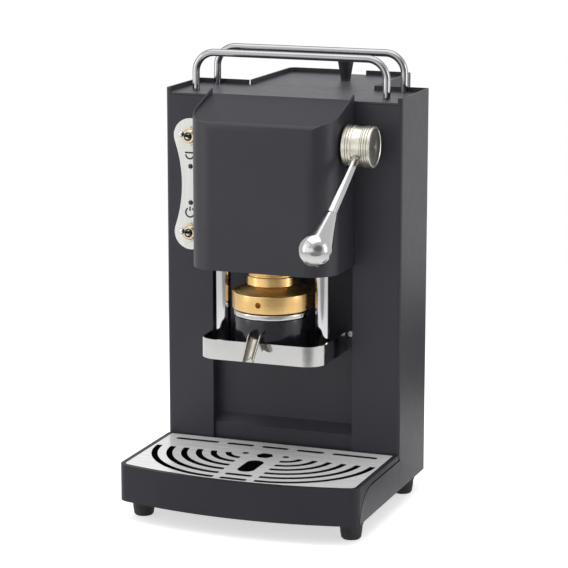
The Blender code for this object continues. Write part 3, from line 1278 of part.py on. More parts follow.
def hub_profile():
    """The hub's radius along its length, its outer end at the top."""
    length = HUB_LENGTH
    waist_low = HUB_WAIST_START
    waist_high = HUB_WAIST_START + HUB_WAIST_LENGTH
    pitch = HUB_GROOVE_WIDTH * 2
    profile = [(0, length - HUB_FACE_RECESS), (HUB_FACE_RADIUS, length - HUB_FACE_RECESS),
               (HUB_FACE_RADIUS, length), (HUB_RADIUS - HUB_CHAMFER, length),
               (HUB_RADIUS, length - HUB_CHAMFER)]
    for i in range(3):
        groove(profile, length - pitch * (i + 0.9), HUB_RADIUS)
    profile += [(HUB_RADIUS, waist_high), (HUB_WAIST_RADIUS, waist_high - HUB_CHAMFER),
                (HUB_WAIST_RADIUS, waist_low + HUB_CHAMFER), (HUB_RADIUS, waist_low)]
    for i in range(2):
        groove(profile, waist_low - pitch * (i + 0.9), HUB_RADIUS)
    bore = SHAFT_RADIUS + SEAT_GAP
    return profile + [(HUB_RADIUS, HUB_CHAMFER), (HUB_RADIUS - HUB_CHAMFER, 0), (bore, 0),
                      (bore, HUB_BORE_DEPTH), (0, HUB_BORE_DEPTH)]


def knob_profile():
    """The teardrop knob along the lever: a flaring neck that runs into a ball."""
    span = KNOB_CENTRE - KNOB_NECK
    meet = math.asin((KNOB_RADIUS - KNOB_NECK_RADIUS) / span)
    ball = [(KNOB_RADIUS * math.cos(a), KNOB_CENTRE + KNOB_RADIUS * math.sin(a))
            for a in (math.pi / 2 - (math.pi / 2 + meet) * i / 10 for i in range(11))]
    meet_radius, meet_place = ball[-1]
    flare = []
    for i in range(1, 6):
        share = 1 - i / 6
        flare.append((
            KNOB_NECK_RADIUS + (meet_radius - KNOB_NECK_RADIUS) * share ** KNOB_FLARE_SHARE,
            KNOB_NECK + (meet_place - KNOB_NECK) * share))
    return [(0, ball[0][1])] + ball[1:] + flare + [(KNOB_NECK_RADIUS, KNOB_NECK), (0, KNOB_NECK)]


def make_lever():
    bore_end = HUB_INNER_X + HUB_BORE_DEPTH - SEAT_GAP
    shaft = rod("lever_shaft", (SHAFT_LEFT, LEVER_Y, LEVER_Z), (bore_end, LEVER_Y, LEVER_Z),
                SHAFT_RADIUS, ROUND_STEPS // 2)
    dress(shaft, CHROME)

    pinion = prism("shaft_pinion", [
        pinion_outline(), circle((LEVER_Y, LEVER_Z), SHAFT_RADIUS + SEAT_GAP)],
        "X", -GEAR_HALF_WIDTH, GEAR_HALF_WIDTH)
    dress(pinion, GEAR_STEEL)

    hub = turned("lever_hub", hub_profile(), ROUND_STEPS, LEVER_REST_DEG - 90 + 180 / ROUND_STEPS)
    hub.rotation_euler = (0, math.pi / 2, 0)
    hub.location = (HUB_INNER_X, LEVER_Y, LEVER_Z)
    rest = math.radians(LEVER_REST_DEG)
    along = Vector((0, -math.cos(rest), -math.sin(rest)))
    pivot = Vector((HUB_MIDDLE_X, LEVER_Y, LEVER_Z))
    cut(hub, rod("rod_socket", pivot + along * (ROD_START - SEAT_GAP), pivot + along * HUB_RADIUS,
                 ROD_RADIUS + SEAT_GAP))
    dress(hub, SATIN_NICKEL)

    lever_rod = rod("lever_rod", pivot + along * ROD_START, pivot + along * (KNOB_NECK - SEAT_GAP),
                    ROD_RADIUS)
    dress(lever_rod, CHROME)

    knob = turned("lever_knob", knob_profile(), ROUND_STEPS * 4 // 5)
    knob.rotation_euler = (math.pi / 2 + rest, 0, 0)
    knob.location = pivot
    dress(knob, CHROME)

    axis = empty("lever_turn", (0, LEVER_Y, LEVER_Z), MACHINE)
    carry(axis, shaft, pinion, hub, lever_rod, knob)


# Switch plate, toggles and lamps

def plate_outline():
    """The plate's two round lobes, joined on each side by one long hollow arc, in X and Z."""
    half_spacing = SWITCH_SPACING / 2
    wide = PLATE_LOBE_RADIUS
    narrow = PLATE_WAIST_HALF
    hollow = (half_spacing ** 2 + narrow ** 2 - wide ** 2) / (2 * (wide - narrow))
    swing = math.degrees(math.asin(half_spacing / (wide + hollow)))
    middle_z = SWITCH_LOWER_Z + half_spacing
    outline = arc((PLATE_X, SWITCH_UPPER_Z), wide, -swing, 180 + swing, SMALL_STEPS)
    outline += arc((PLATE_X - narrow - hollow, middle_z), hollow, swing, -swing,
                   LARGE_CORNER_STEPS)[1:-1]
    outline += arc((PLATE_X, SWITCH_LOWER_Z), wide, 180 - swing, 360 + swing, SMALL_STEPS)
    outline += arc((PLATE_X + narrow + hollow, middle_z), hollow, 180 + swing, 180 - swing,
                   LARGE_CORNER_STEPS)[1:-1]
    return outline


def make_switch(word, z):
    strip_rear = SHEET + SEAT_GAP
    body_front = strip_rear + SEAT_GAP
    body = box(f"switch_body_{word}",
               (PLATE_X - SWITCH_BODY_WIDTH / 2, body_front, z - SWITCH_BODY_HEIGHT / 2),
               (PLATE_X + SWITCH_BODY_WIDTH / 2, body_front + SWITCH_BODY_DEPTH,
                z + SWITCH_BODY_HEIGHT / 2))
    dress(body, BLACK_PLASTIC)

    plate_face = -SEAT_GAP * 2 - PLATE_THICKNESS
    nut_back = plate_face - SEAT_GAP
    bushing = turned(f"switch_bushing_{word}", [
        (THREAD_BORE, THREAD_REACH), (THREAD_RADIUS, THREAD_REACH), (THREAD_RADIUS, -strip_rear),
        (0, -strip_rear), (0, 0), (THREAD_BORE, 0), (THREAD_BORE, THREAD_REACH)], SMALL_STEPS)
    bushing.rotation_euler = (math.pi / 2, 0, 0)
    bushing.location = (PLATE_X, 0, z)
    nut_corners = circle((PLATE_X, z), NUT_RADIUS, 6)
    nut_hole = circle((PLATE_X, z), THREAD_RADIUS - SEAT_GAP)
    join(bushing, prism(f"switch_nut_{word}", [nut_corners, nut_hole], "Y",
                        nut_back - NUT_HEIGHT, nut_back))
    dress(bushing, SATIN_NICKEL)

    toggle = turned(f"toggle_{word}", [
        (0, TOGGLE_LENGTH), (TOGGLE_TIP_RADIUS * 0.7, TOGGLE_LENGTH - TOGGLE_TIP_RADIUS * 0.3),
        (TOGGLE_TIP_RADIUS, TOGGLE_LENGTH - TOGGLE_TIP_RADIUS),
        (TOGGLE_TIP_RADIUS * 0.8, TOGGLE_LENGTH - TOGGLE_TIP_RADIUS * 2),
        (TOGGLE_STEM_RADIUS, TOGGLE_PIVOT_RADIUS), (TOGGLE_PIVOT_RADIUS * 0.8, TOGGLE_PIVOT_RADIUS * 0.6),
        (TOGGLE_PIVOT_RADIUS, 0), (TOGGLE_PIVOT_RADIUS * 0.8, -TOGGLE_PIVOT_RADIUS * 0.6),
        (0, -TOGGLE_PIVOT_RADIUS)], SMALL_STEPS)
    toggle.rotation_euler = (math.pi / 2 - math.radians(TOGGLE_TILT_DEG), 0, 0)
    toggle.location = (PLATE_X, -TOGGLE_PIVOT, z)
    dress(toggle, SATIN_NICKEL)
    carry(empty(f"toggle_{word}_turn", (PLATE_X, -TOGGLE_PIVOT, z), MACHINE), toggle)


def make_controls():
    plate = prism("switch_plate", [plate_outline()] + control_holes(), "Y",
                  -SEAT_GAP - PLATE_THICKNESS, -SEAT_GAP)
    dress(plate, BRUSHED_STEEL)
    make_switch("upper", SWITCH_UPPER_Z)
    make_switch("lower", SWITCH_LOWER_Z)
    for word, z in (("upper", LAMP_UPPER_Z), ("lower", LAMP_LOWER_Z)):
        lamp = turned(f"lamp_{word}", [
            (0, LAMP_PROUD), (LAMP_RADIUS * 0.7, LAMP_PROUD * 0.7), (LAMP_RADIUS, 0),
            (LAMP_RADIUS, -LAMP_DEPTH), (0, -LAMP_DEPTH)], SMALL_STEPS // 2)
        lamp.rotation_euler = (math.pi / 2, 0, 0)
        lamp.location = (PLATE_X, -SEAT_GAP - PLATE_THICKNESS, z)
        dress(lamp, LAMP_LENS)


# Drip tray and grille

def tray_outline(inset, rear):
    """The tray seen from above: square at the back, a bowed nose and small front corners."""
    half = HALF_WIDTH - inset
    chord = HALF_WIDTH - TRAY_CORNER_RADIUS
    sag = TRAY_CORNER_Y - TRAY_NOSE_Y
    bow = (chord ** 2 + sag ** 2) / (2 * sag)
    centre_y = TRAY_NOSE_Y + bow
    bow -= inset
    radius = TRAY_CORNER_RADIUS - inset
    corner_x = half - radius
    corner_y = centre_y - math.sqrt((bow - radius) ** 2 - corner_x ** 2)
    swing = math.degrees(math.atan2(corner_y - centre_y, corner_x))
    outline = [(-half, rear)]
    outline += arc((-corner_x, corner_y), radius, 180, 180 - swing, CORNER_STEPS)
    outline += arc((0, centre_y), bow, 180 - swing, 360 + swing, BOW_STEPS)[1:-1]
    outline += arc((corner_x, corner_y), radius, swing, 0, CORNER_STEPS)
    return outline + [(half, rear)]


def ripple(index, side):
    """One long curved slot along a quarter of an ellipse."""
    half_x = RIPPLE_FIRST_X + index * RIPPLE_PITCH_X
    half_y = RIPPLE_FIRST_Y + index * RIPPLE_PITCH_Y
    start = math.asin((RIPPLE_CENTRE_Y - RIPPLE_TOP_Y) / half_y)
    edges = []
    for offset in (-SLOT_WIDTH / 2, SLOT_WIDTH / 2):
        edge = []
        for i in range(RIPPLE_STEPS + 1):
            turn = start + (math.pi / 2 - start) * i / RIPPLE_STEPS
            outward = Vector((half_y * math.cos(turn), half_x * math.sin(turn))).normalized() * offset
            edge.append((side * (RIPPLE_CENTRE_X + half_x * math.cos(turn) + outward.x),
                         RIPPLE_CENTRE_Y - half_y * math.sin(turn) - outward.y))
        edges.append(edge)
    return edges[0] + edges[1][::-1]


def grille_holes():
    half_slot = SLOT_WIDTH / 2
    holes = [slot((HALF_WIDTH * low + half_slot, BACK_SLOT_Y), (HALF_WIDTH * high - half_slot, BACK_SLOT_Y),
                  SLOT_WIDTH) for low, high in BACK_SLOT_SHARES]
    holes += [slot((half_slot - NOSE_SLOT_HALF, y), (NOSE_SLOT_HALF - half_slot, y), SLOT_WIDTH)
              for y in (NOSE_SLOT_REAR_Y, NOSE_SLOT_FRONT_Y)]
    holes.append(slot((0, OVAL_FRONT + OVAL_HALF_WIDTH), (0, OVAL_REAR - OVAL_HALF_WIDTH),
                      OVAL_HALF_WIDTH * 2, CORNER_STEPS))
    holes.append(circle((0, HEX_Y), HEX_RADIUS, 6))
    holes += [circle((side * PIN_HOLE_X, PIN_HOLE_Y), PIN_HOLE_RADIUS, SMALL_STEPS // 2)
              for side in (-1, 1)]
    return holes + [ripple(i, side) for i in range(RIPPLE_COUNT) for side in (-1, 1)]


def make_drip_tray():
    tray = prism("drip_tray", [tray_outline(0, TRAY_REAR)], "Z", UNDERSIDE + SEAT_GAP, TRAY_TOP)
    shelf = TRAY_TOP - GRILLE_THICKNESS - SEAT_GAP
    basin_floor = BASE_TOP + SEAT_GAP + TRAY_FLOOR
    grille_inset = TRAY_RIM
    basin_inset = TRAY_RIM + GRILLE_LEDGE
    cut(tray, prism("tray_seat_cut", [tray_outline(grille_inset, TRAY_REAR - TRAY_WALL)], "Z",
                    shelf, TRAY_TOP + OVERRUN))
    cut(tray, prism("tray_basin_cut", [tray_outline(basin_inset, TRAY_REAR - TRAY_WALL - GRILLE_LEDGE)],
                    "Z", basin_floor, TRAY_TOP))
    cut(tray, box("tray_base_cut", (-HALF_WIDTH - OVERRUN, -WING_REACH + SHEET - SEAT_GAP, 0),
                  (HALF_WIDTH + OVERRUN, OVERRUN, BASE_TOP + SEAT_GAP)))
    wall = HALF_WIDTH - SHEET - SEAT_GAP
    for side in (-1, 1):
        low, high = sorted((side * wall, side * (HALF_WIDTH + OVERRUN)))
        lower = [(y, z - (OVERRUN if z <= UNDERSIDE else 0))
                 for y, z in wing_outline(SEAT_GAP, OVERRUN)]
        cut(tray, prism(f"tray_wing_cut_{side}", [lower], "X", low, high))
    dress(tray, BLACK_COAT)

    grille_outline = tray_outline(grille_inset + GRILLE_GAP, TRAY_REAR - TRAY_WALL - GRILLE_GAP)
    grille = prism("drip_grille", [grille_outline] + grille_holes(), "Z",
                   TRAY_TOP - GRILLE_THICKNESS, TRAY_TOP)
    dress(grille, BRUSHED_STEEL)
    carry(empty("tray_slide", (0, TRAY_CORNER_Y, BASE_TOP), MACHINE), tray)
    carry(empty("grille_lift", (0, TRAY_CORNER_Y, TRAY_TOP), MACHINE), grille)


# Water circuit

def make_water_circuit():
    pump = turned("water_pump", [
        (0, PUMP_HALF_LENGTH + PUMP_END_LENGTH + BARB_LENGTH),
        (BARB_RADIUS, PUMP_HALF_LENGTH + PUMP_END_LENGTH + BARB_LENGTH),
        (BARB_RADIUS, PUMP_HALF_LENGTH + PUMP_END_LENGTH),
        (PUMP_END_RADIUS, PUMP_HALF_LENGTH + PUMP_END_LENGTH), (PUMP_END_RADIUS, PUMP_HALF_LENGTH),
        (PUMP_RADIUS, PUMP_HALF_LENGTH), (PUMP_RADIUS, -PUMP_HALF_LENGTH),
        (PUMP_END_RADIUS, -PUMP_HALF_LENGTH), (PUMP_END_RADIUS, -PUMP_HALF_LENGTH - PUMP_END_LENGTH),
        (0, -PUMP_HALF_LENGTH - PUMP_END_LENGTH)], SMALL_STEPS, 180 / SMALL_STEPS)
    pump.rotation_euler = (0, math.pi / 2, 0)
    pump.location = (PUMP_X, PUMP_Y, PUMP_Z)
    outlet_x = PUMP_X - PUMP_HALF_LENGTH - PUMP_END_LENGTH / 2
    outlet_top = PUMP_Z + PUMP_END_RADIUS + BARB_LENGTH
    join(pump, rod("pump_outlet", (outlet_x, PUMP_Y, PUMP_Z), (outlet_x, PUMP_Y, outlet_top),
                   BARB_RADIUS, SMALL_STEPS // 2))
    dress(pump, BLACK_PLASTIC)

    saddle = box("pump_saddle", (PUMP_X - SADDLE_HALF_LENGTH, PUMP_Y - SADDLE_HALF_WIDTH,
                                 BASE_TOP + SEAT_GAP),
                 (PUMP_X + SADDLE_HALF_LENGTH, PUMP_Y + SADDLE_HALF_WIDTH, PUMP_Z - PUMP_RADIUS / 2))
    cut(saddle, rod("saddle_cut", (PUMP_X - PUMP_HALF_LENGTH, PUMP_Y, PUMP_Z),
                    (PUMP_X + PUMP_HALF_LENGTH, PUMP_Y, PUMP_Z), PUMP_RADIUS + SEAT_GAP, ROUND_STEPS))
    dress(saddle, RUBBER)

    boiler = turned("boiler", [
        (0, BOILER_TOP + BOILER_DOME), (BOILER_RADIUS / 2, BOILER_TOP + BOILER_DOME),
        (BOILER_RADIUS, BOILER_TOP), (BOILER_RADIUS, BOILER_BOTTOM),
        (BOILER_PORT_RADIUS, BOILER_BOTTOM - BOILER_DOME),
        (BOILER_PORT_RADIUS, BOILER_BOTTOM - BOILER_DOME - BOILER_PORT_LENGTH),
        (0, BOILER_BOTTOM - BOILER_DOME - BOILER_PORT_LENGTH)], ROUND_STEPS * 4 // 5)
    boiler.location = (0, BOILER_Y, 0)
    port_y = BOILER_Y - BOILER_RADIUS
    join(boiler, rod("boiler_port", (0, port_y + OVERRUN, BOILER_PORT_Z),
                     (0, RECESS_DEPTH + SHEET + SEAT_GAP, BOILER_PORT_Z), BOILER_PORT_RADIUS))
    dress(boiler, BRASS)

    strap = box("boiler_saddle", (-STRAP_HALF_WIDTH, RECESS_DEPTH + SHEET + SEAT_GAP, STRAP_BOTTOM),
                (STRAP_HALF_WIDTH, STRAP_REAR, STRAP_BOTTOM + STRAP_HEIGHT))
    cut(strap, rod("strap_cut", (0, BOILER_Y, STRAP_BOTTOM - OVERRUN),
                   (0, BOILER_Y, STRAP_BOTTOM + STRAP_HEIGHT + OVERRUN), BOILER_RADIUS + SEAT_GAP,
                   ROUND_STEPS * 4 // 5))
    dress(strap, ZINC_STEEL)

    barb_z = BASE_TOP + SEAT_GAP + BARB_HEIGHT
    start_y = TANK_VALVE_Y - VALVE_OUTER_RADIUS - BARB_LENGTH - SEAT_GAP
    pump_end = PUMP_X + PUMP_HALF_LENGTH + PUMP_END_LENGTH + BARB_LENGTH + SEAT_GAP
    run = HOSE_STRAIGHT
    turn = HOSE_BEND
    suction = tube("suction_hose", smooth_route([
        (0, start_y, barb_z), (0, start_y - run, barb_z), (0, start_y - run * 2, barb_z),
        (turn / 2, PUMP_Y + turn, barb_z + turn / 8), (turn, PUMP_Y + turn / 2, barb_z + turn / 2),
        (turn, PUMP_Y + turn / 6, PUMP_Z - turn / 4), (pump_end + run * 2, PUMP_Y, PUMP_Z),
        (pump_end + run, PUMP_Y, PUMP_Z), (pump_end, PUMP_Y, PUMP_Z)]), HOSE_RADIUS)
    dress(suction, WHITE_TUBE)

    boiler_low = BOILER_BOTTOM - BOILER_DOME - BOILER_PORT_LENGTH - SEAT_GAP
    outlet_top += SEAT_GAP
    pressure = tube("pressure_hose", smooth_route([
        (outlet_x, PUMP_Y, outlet_top), (outlet_x, PUMP_Y, outlet_top + run),
        (outlet_x, PUMP_Y, outlet_top + run * 2), (outlet_x * 2 / 3, PUMP_Y, outlet_top + turn * 3),
        (outlet_x / 4, BOILER_Y, boiler_low - turn), (0, BOILER_Y, boiler_low - run * 2),
        (0, BOILER_Y, boiler_low - run), (0, BOILER_Y, boiler_low)]), HOSE_RADIUS)
    dress(pressure, WHITE_TUBE)

    low_z = CROSSHEAD_TOP + SEAT_GAP * 2 + FITTING_HEIGHT
    hose_y = RECESS_DEPTH + SHEET
    group_hose = tube("group_hose", smooth_route([
        (0, hose_y, BOILER_PORT_Z), (0, hose_y - run, BOILER_PORT_Z),
        (0, hose_y - run * 2, BOILER_PORT_Z), (0, GROUP_HOSE_Y + run, BOILER_PORT_Z - run / 3),
        (0, GROUP_HOSE_Y, low_z + run * 4 / 3), (0, GROUP_HOSE_Y, low_z + run * 2 / 3),
        (0, GROUP_HOSE_Y, low_z)]), HOSE_RADIUS)
    dress(group_hose, WHITE_TUBE)


make_casing()
make_feet()
make_rails()
make_rear_housing()
make_tank()
make_hood()
make_pod_station()
make_group_frame()
make_brew_head()
make_lever()
make_controls()
make_drip_tray()
make_water_circuit()
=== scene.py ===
"""Looks for the lever espresso machine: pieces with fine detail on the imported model's frame.

Lengths are metres. While a piece is made, Y = 0 is the front face of the main body, as it is in
the CAD source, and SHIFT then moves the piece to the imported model's frame.
"""

import math

import bmesh
import bpy
from mathutils import Euler, Matrix, Vector


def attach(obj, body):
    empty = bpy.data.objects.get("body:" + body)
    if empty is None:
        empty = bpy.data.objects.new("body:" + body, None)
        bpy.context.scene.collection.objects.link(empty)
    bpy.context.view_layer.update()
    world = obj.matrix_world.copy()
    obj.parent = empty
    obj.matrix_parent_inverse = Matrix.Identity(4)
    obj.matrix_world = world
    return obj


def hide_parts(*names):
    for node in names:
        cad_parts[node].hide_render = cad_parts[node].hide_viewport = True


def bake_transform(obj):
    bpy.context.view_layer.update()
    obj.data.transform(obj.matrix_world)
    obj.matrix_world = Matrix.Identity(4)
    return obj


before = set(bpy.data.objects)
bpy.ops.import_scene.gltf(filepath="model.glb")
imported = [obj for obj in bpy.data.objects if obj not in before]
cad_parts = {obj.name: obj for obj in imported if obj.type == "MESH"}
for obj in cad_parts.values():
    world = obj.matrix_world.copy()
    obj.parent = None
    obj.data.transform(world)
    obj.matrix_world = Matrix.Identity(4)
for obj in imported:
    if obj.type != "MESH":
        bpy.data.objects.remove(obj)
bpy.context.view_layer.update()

SHIFT = Vector((0, -0.014475, 0))

# Casing
HALF_WIDTH = 0.1
SHEET = 0.0015
DECK_TOP = 0.3297
UNDERSIDE = 0.016
BASE_TOP = 0.0175
RECESS_FACE = 0.0112

SIDES = (("left", -1), ("right", 1))

# The body that most pieces ride on
BODY = "machine_body"

# Clear space between neighbours, and the least height of one thing above another
GAP = 0.0003
HAIR = 0.00006

# How far a cutting shape reaches past what it cuts
OVERCUT = 0.002

# Widths of the small round edges
THIN_EDGE = 0.0002
FINE_EDGE = 0.0003
ROUND_EDGE = 0.0004
SOFT_EDGE = 0.0005

# Counts of facets
TURN_STEPS = 96
SMALL_STEPS = 48
CORNER_STEPS = 10
TUBE_SIDES = 32

# Turns of a flat outline that make its normal the X, Y or Z axis
FACING = {"X": (math.pi / 2, 0, math.pi / 2), "Y": (math.pi / 2, 0, 0), "Z": (0, 0, 0)}

# Points nearer to each other than this become one
WELD = 0.00001


# Outlines in a plane

def arc(centre, radius, start_deg, end_deg, steps=CORNER_STEPS):
    swing = end_deg - start_deg
    angles = [math.radians(start_deg + swing * i / steps) for i in range(steps + 1)]
    return [(centre[0] + radius * math.cos(a), centre[1] + radius * math.sin(a)) for a in angles]


def circle(centre, radius, steps=SMALL_STEPS, first_deg=0):
    return arc(centre, radius, first_deg, first_deg + 360 - 360 / steps, steps - 1)


def rounded(corners, steps=CORNER_STEPS):
    """The outline with an arc at each (x, y, radius) corner. An (x, y) corner stays sharp."""
    made = []
    for i, (x, y, *more) in enumerate(corners):
        radius = more[0] if more else 0
        if not radius:
            made.append((x, y))
            continue
        corner = Vector((x, y))
        before = (Vector(corners[i - 1][:2]) - corner).normalized()
        after = (Vector(corners[(i + 1) % len(corners)][:2]) - corner).normalized()
        half = before.angle(after) / 2
        centre = corner + (before + after).normalized() * radius / math.sin(half)
        first = corner + before * radius / math.tan(half) - centre
        last = corner + after * radius / math.tan(half) - centre
        swing = math.atan2(first.x * last.y - first.y * last.x, first.dot(last))
        for step in range(steps + 1):
            turn = swing * step / steps
            made.append((
                centre.x + first.x * math.cos(turn) - first.y * math.sin(turn),
                centre.y + first.x * math.sin(turn) + first.y * math.cos(turn),
            ))
    return made


def rectangle(low, high, radius=0, steps=CORNER_STEPS):
    corners = [(low[0], low[1]), (high[0], low[1]), (high[0], high[1]), (low[0], high[1])]
    return rounded([(x, y, radius) for x, y in corners], steps)


def apron(half, front, rear, radius, inset=0):
    """A plan from above with two round corners at the front, drawn in by the inset."""
    half, front, radius = half - inset, front + inset, radius - inset
    return rounded([(-half, rear), (-half, front, radius), (half, front, radius), (half, rear)], 24)


def slot(start, end, width, steps=CORNER_STEPS):
    along = Vector(end) - Vector(start)
    heading = math.degrees(math.atan2(along.y, along.x))
    tail = arc(start, width / 2, heading + 90, heading + 270, steps)
    return tail + arc(end, width / 2, heading - 90, heading + 90, steps)


# Solids

def adopt(name, data):
    made = bpy.data.objects.new(name, data)
    bpy.context.scene.collection.objects.link(made)
    return made


def finish_mesh(name, work):
    """Makes a piece from the bmesh, and frees the bmesh."""
    mesh = bpy.data.meshes.new(name)
    work.to_mesh(mesh)
    work.free()
    return adopt(name, mesh)


def smooth(mesh, angle_deg=32):
    """Smooth shading, with a sharp edge wherever two faces meet at more than the angle."""
    mesh.shade_smooth()
    mesh.set_sharp_from_angle(angle=math.radians(angle_deg))


def close_mesh(name, work):
    """Makes a smooth piece with its points welded and its faces turned outwards."""
    bmesh.ops.remove_doubles(work, verts=work.verts, dist=WELD)
    bmesh.ops.recalc_face_normals(work, faces=work.faces)
    made = finish_mesh(name, work)
    smooth(made.data)
    return made


def evaluated(made):
    """A new mesh of the object as it shows, with its modifiers worked in."""
    bpy.context.view_layer.update()
    seen = made.evaluated_get(bpy.context.evaluated_depsgraph_get())
    return bpy.data.meshes.new_from_object(seen)


def settle(made):
    """Applies the piece's modifiers."""
    mesh = evaluated(made)
    made.modifiers.clear()
    old = made.data
    made.data = mesh
    if not old.users:
        bpy.data.meshes.remove(old)


def as_mesh(name, curve):
    """Turns the curve into a closed mesh piece."""
    source = adopt(name + "_curve", curve)
    mesh = evaluated(source)
    work = bmesh.new()
    work.from_mesh(mesh)
    bpy.data.meshes.remove(mesh)
    bpy.data.objects.remove(source)
    bpy.data.curves.remove(curve)
    return close_mesh(name, work)


def prism(name, loops, axis, low, high):
    """A flat outline with its holes, drawn out along an axis from low to high."""
    curve = bpy.data.curves.new(name, "CURVE")
    curve.dimensions = "2D"
    curve.fill_mode = "BOTH"
    curve.extrude = (high - low) / 2
    for loop in loops:
        spline = curve.splines.new("POLY")
        spline.points.add(len(loop) - 1)
        for point, (x, y) in zip(spline.points, loop):
            point.co = (x, y, 0, 1)
        spline.use_cyclic_u = True
    made = as_mesh(name, curve)
    made.data.transform(Euler(FACING[axis]).to_matrix().to_4x4())
    offset = Vector((0, 0, 0))
    offset["XYZ".index(axis)] = (low + high) / 2
    made.data.transform(Matrix.Translation(offset))
    return made


def turned(name, corners, arc_steps=CORNER_STEPS, steps=TURN_STEPS):
    """A turned piece on the Z axis. Its corners run from the top down, and some have an arc."""
    work = bmesh.new()
    profile = [work.verts.new((radius, 0, z)) for radius, z in rounded(corners, arc_steps)]
    edges = [work.edges.new(pair) for pair in zip(profile, profile[1:])]
    bmesh.ops.spin(work, geom=profile + edges, cent=(0, 0, 0), axis=(0, 0, 1),
                   angle=2 * math.pi, steps=steps)
    return close_mesh(name, work)


def tube(name, points, radius):
    """A round bar along the points."""
    curve = bpy.data.curves.new(name, "CURVE")
    curve.dimensions = "3D"
    curve.bevel_depth = radius
    curve.bevel_resolution = TUBE_SIDES // 4
    curve.use_fill_caps = True
    spline = curve.splines.new("POLY")
    spline.points.add(len(points) - 1)
    for point, spot in zip(spline.points, points):
        point.co = (*spot, 1)
    return as_mesh(name, curve)


def rod(name, start, end, radius):
    along = Vector(end) - Vector(start)
    work = bmesh.new()
    bmesh.ops.create_cone(work, cap_ends=True, segments=SMALL_STEPS, radius1=radius,
                          radius2=radius, depth=along.length)
    made = finish_mesh(name, work)
    smooth(made.data)
    made.matrix_world = Matrix.Translation((Vector(start) + Vector(end)) / 2) @ (
        along.to_track_quat("Z", "Y").to_matrix().to_4x4())
    return made


def combine(target, other, operation):
    step = target.modifiers.new(other.name, "BOOLEAN")
    step.operation = operation
    step.object = other
    step.solver = "EXACT"
    settle(target)
    bpy.data.objects.remove(other)


def cut(target, *others):
    for other in others:
        combine(target, other, "DIFFERENCE")


def add_weld(made):
    made.modifiers.new("weld", "WELD").merge_threshold = WELD


def ease_edges(made, width, segments=2):
    """Small round edges that catch the light, wherever two faces meet at more than the angle."""
    angle_deg = 35
    add_weld(made)
    bevel = made.modifiers.new("ease", "BEVEL")
    bevel.width = width
    bevel.segments = segments
    bevel.limit_method = "ANGLE"
    bevel.angle_limit = math.radians(angle_deg)
    smooth(made.data, angle_deg)
    made.modifiers.new("flat_faces", "WEIGHTED_NORMAL").keep_sharp = True


def place(made, body, look, nodes=(), at=(0, 0, 0), turn=(0, 0, 0)):
    """Puts the piece where the CAD says, gives it its look, and lets it ride on its body."""
    made.location = Vector(at) + SHIFT
    made.rotation_euler = turn
    made.data.materials.clear()
    made.data.materials.append(look)
    bpy.context.view_layer.update()
    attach(made, body)
    if nodes:
        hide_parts(*nodes)


# Materials

# Places of a colour Mix node's own sockets
MIX_SHARE, MIX_FIRST, MIX_SECOND = 0, 6, 7
MIX_RESULT = 2


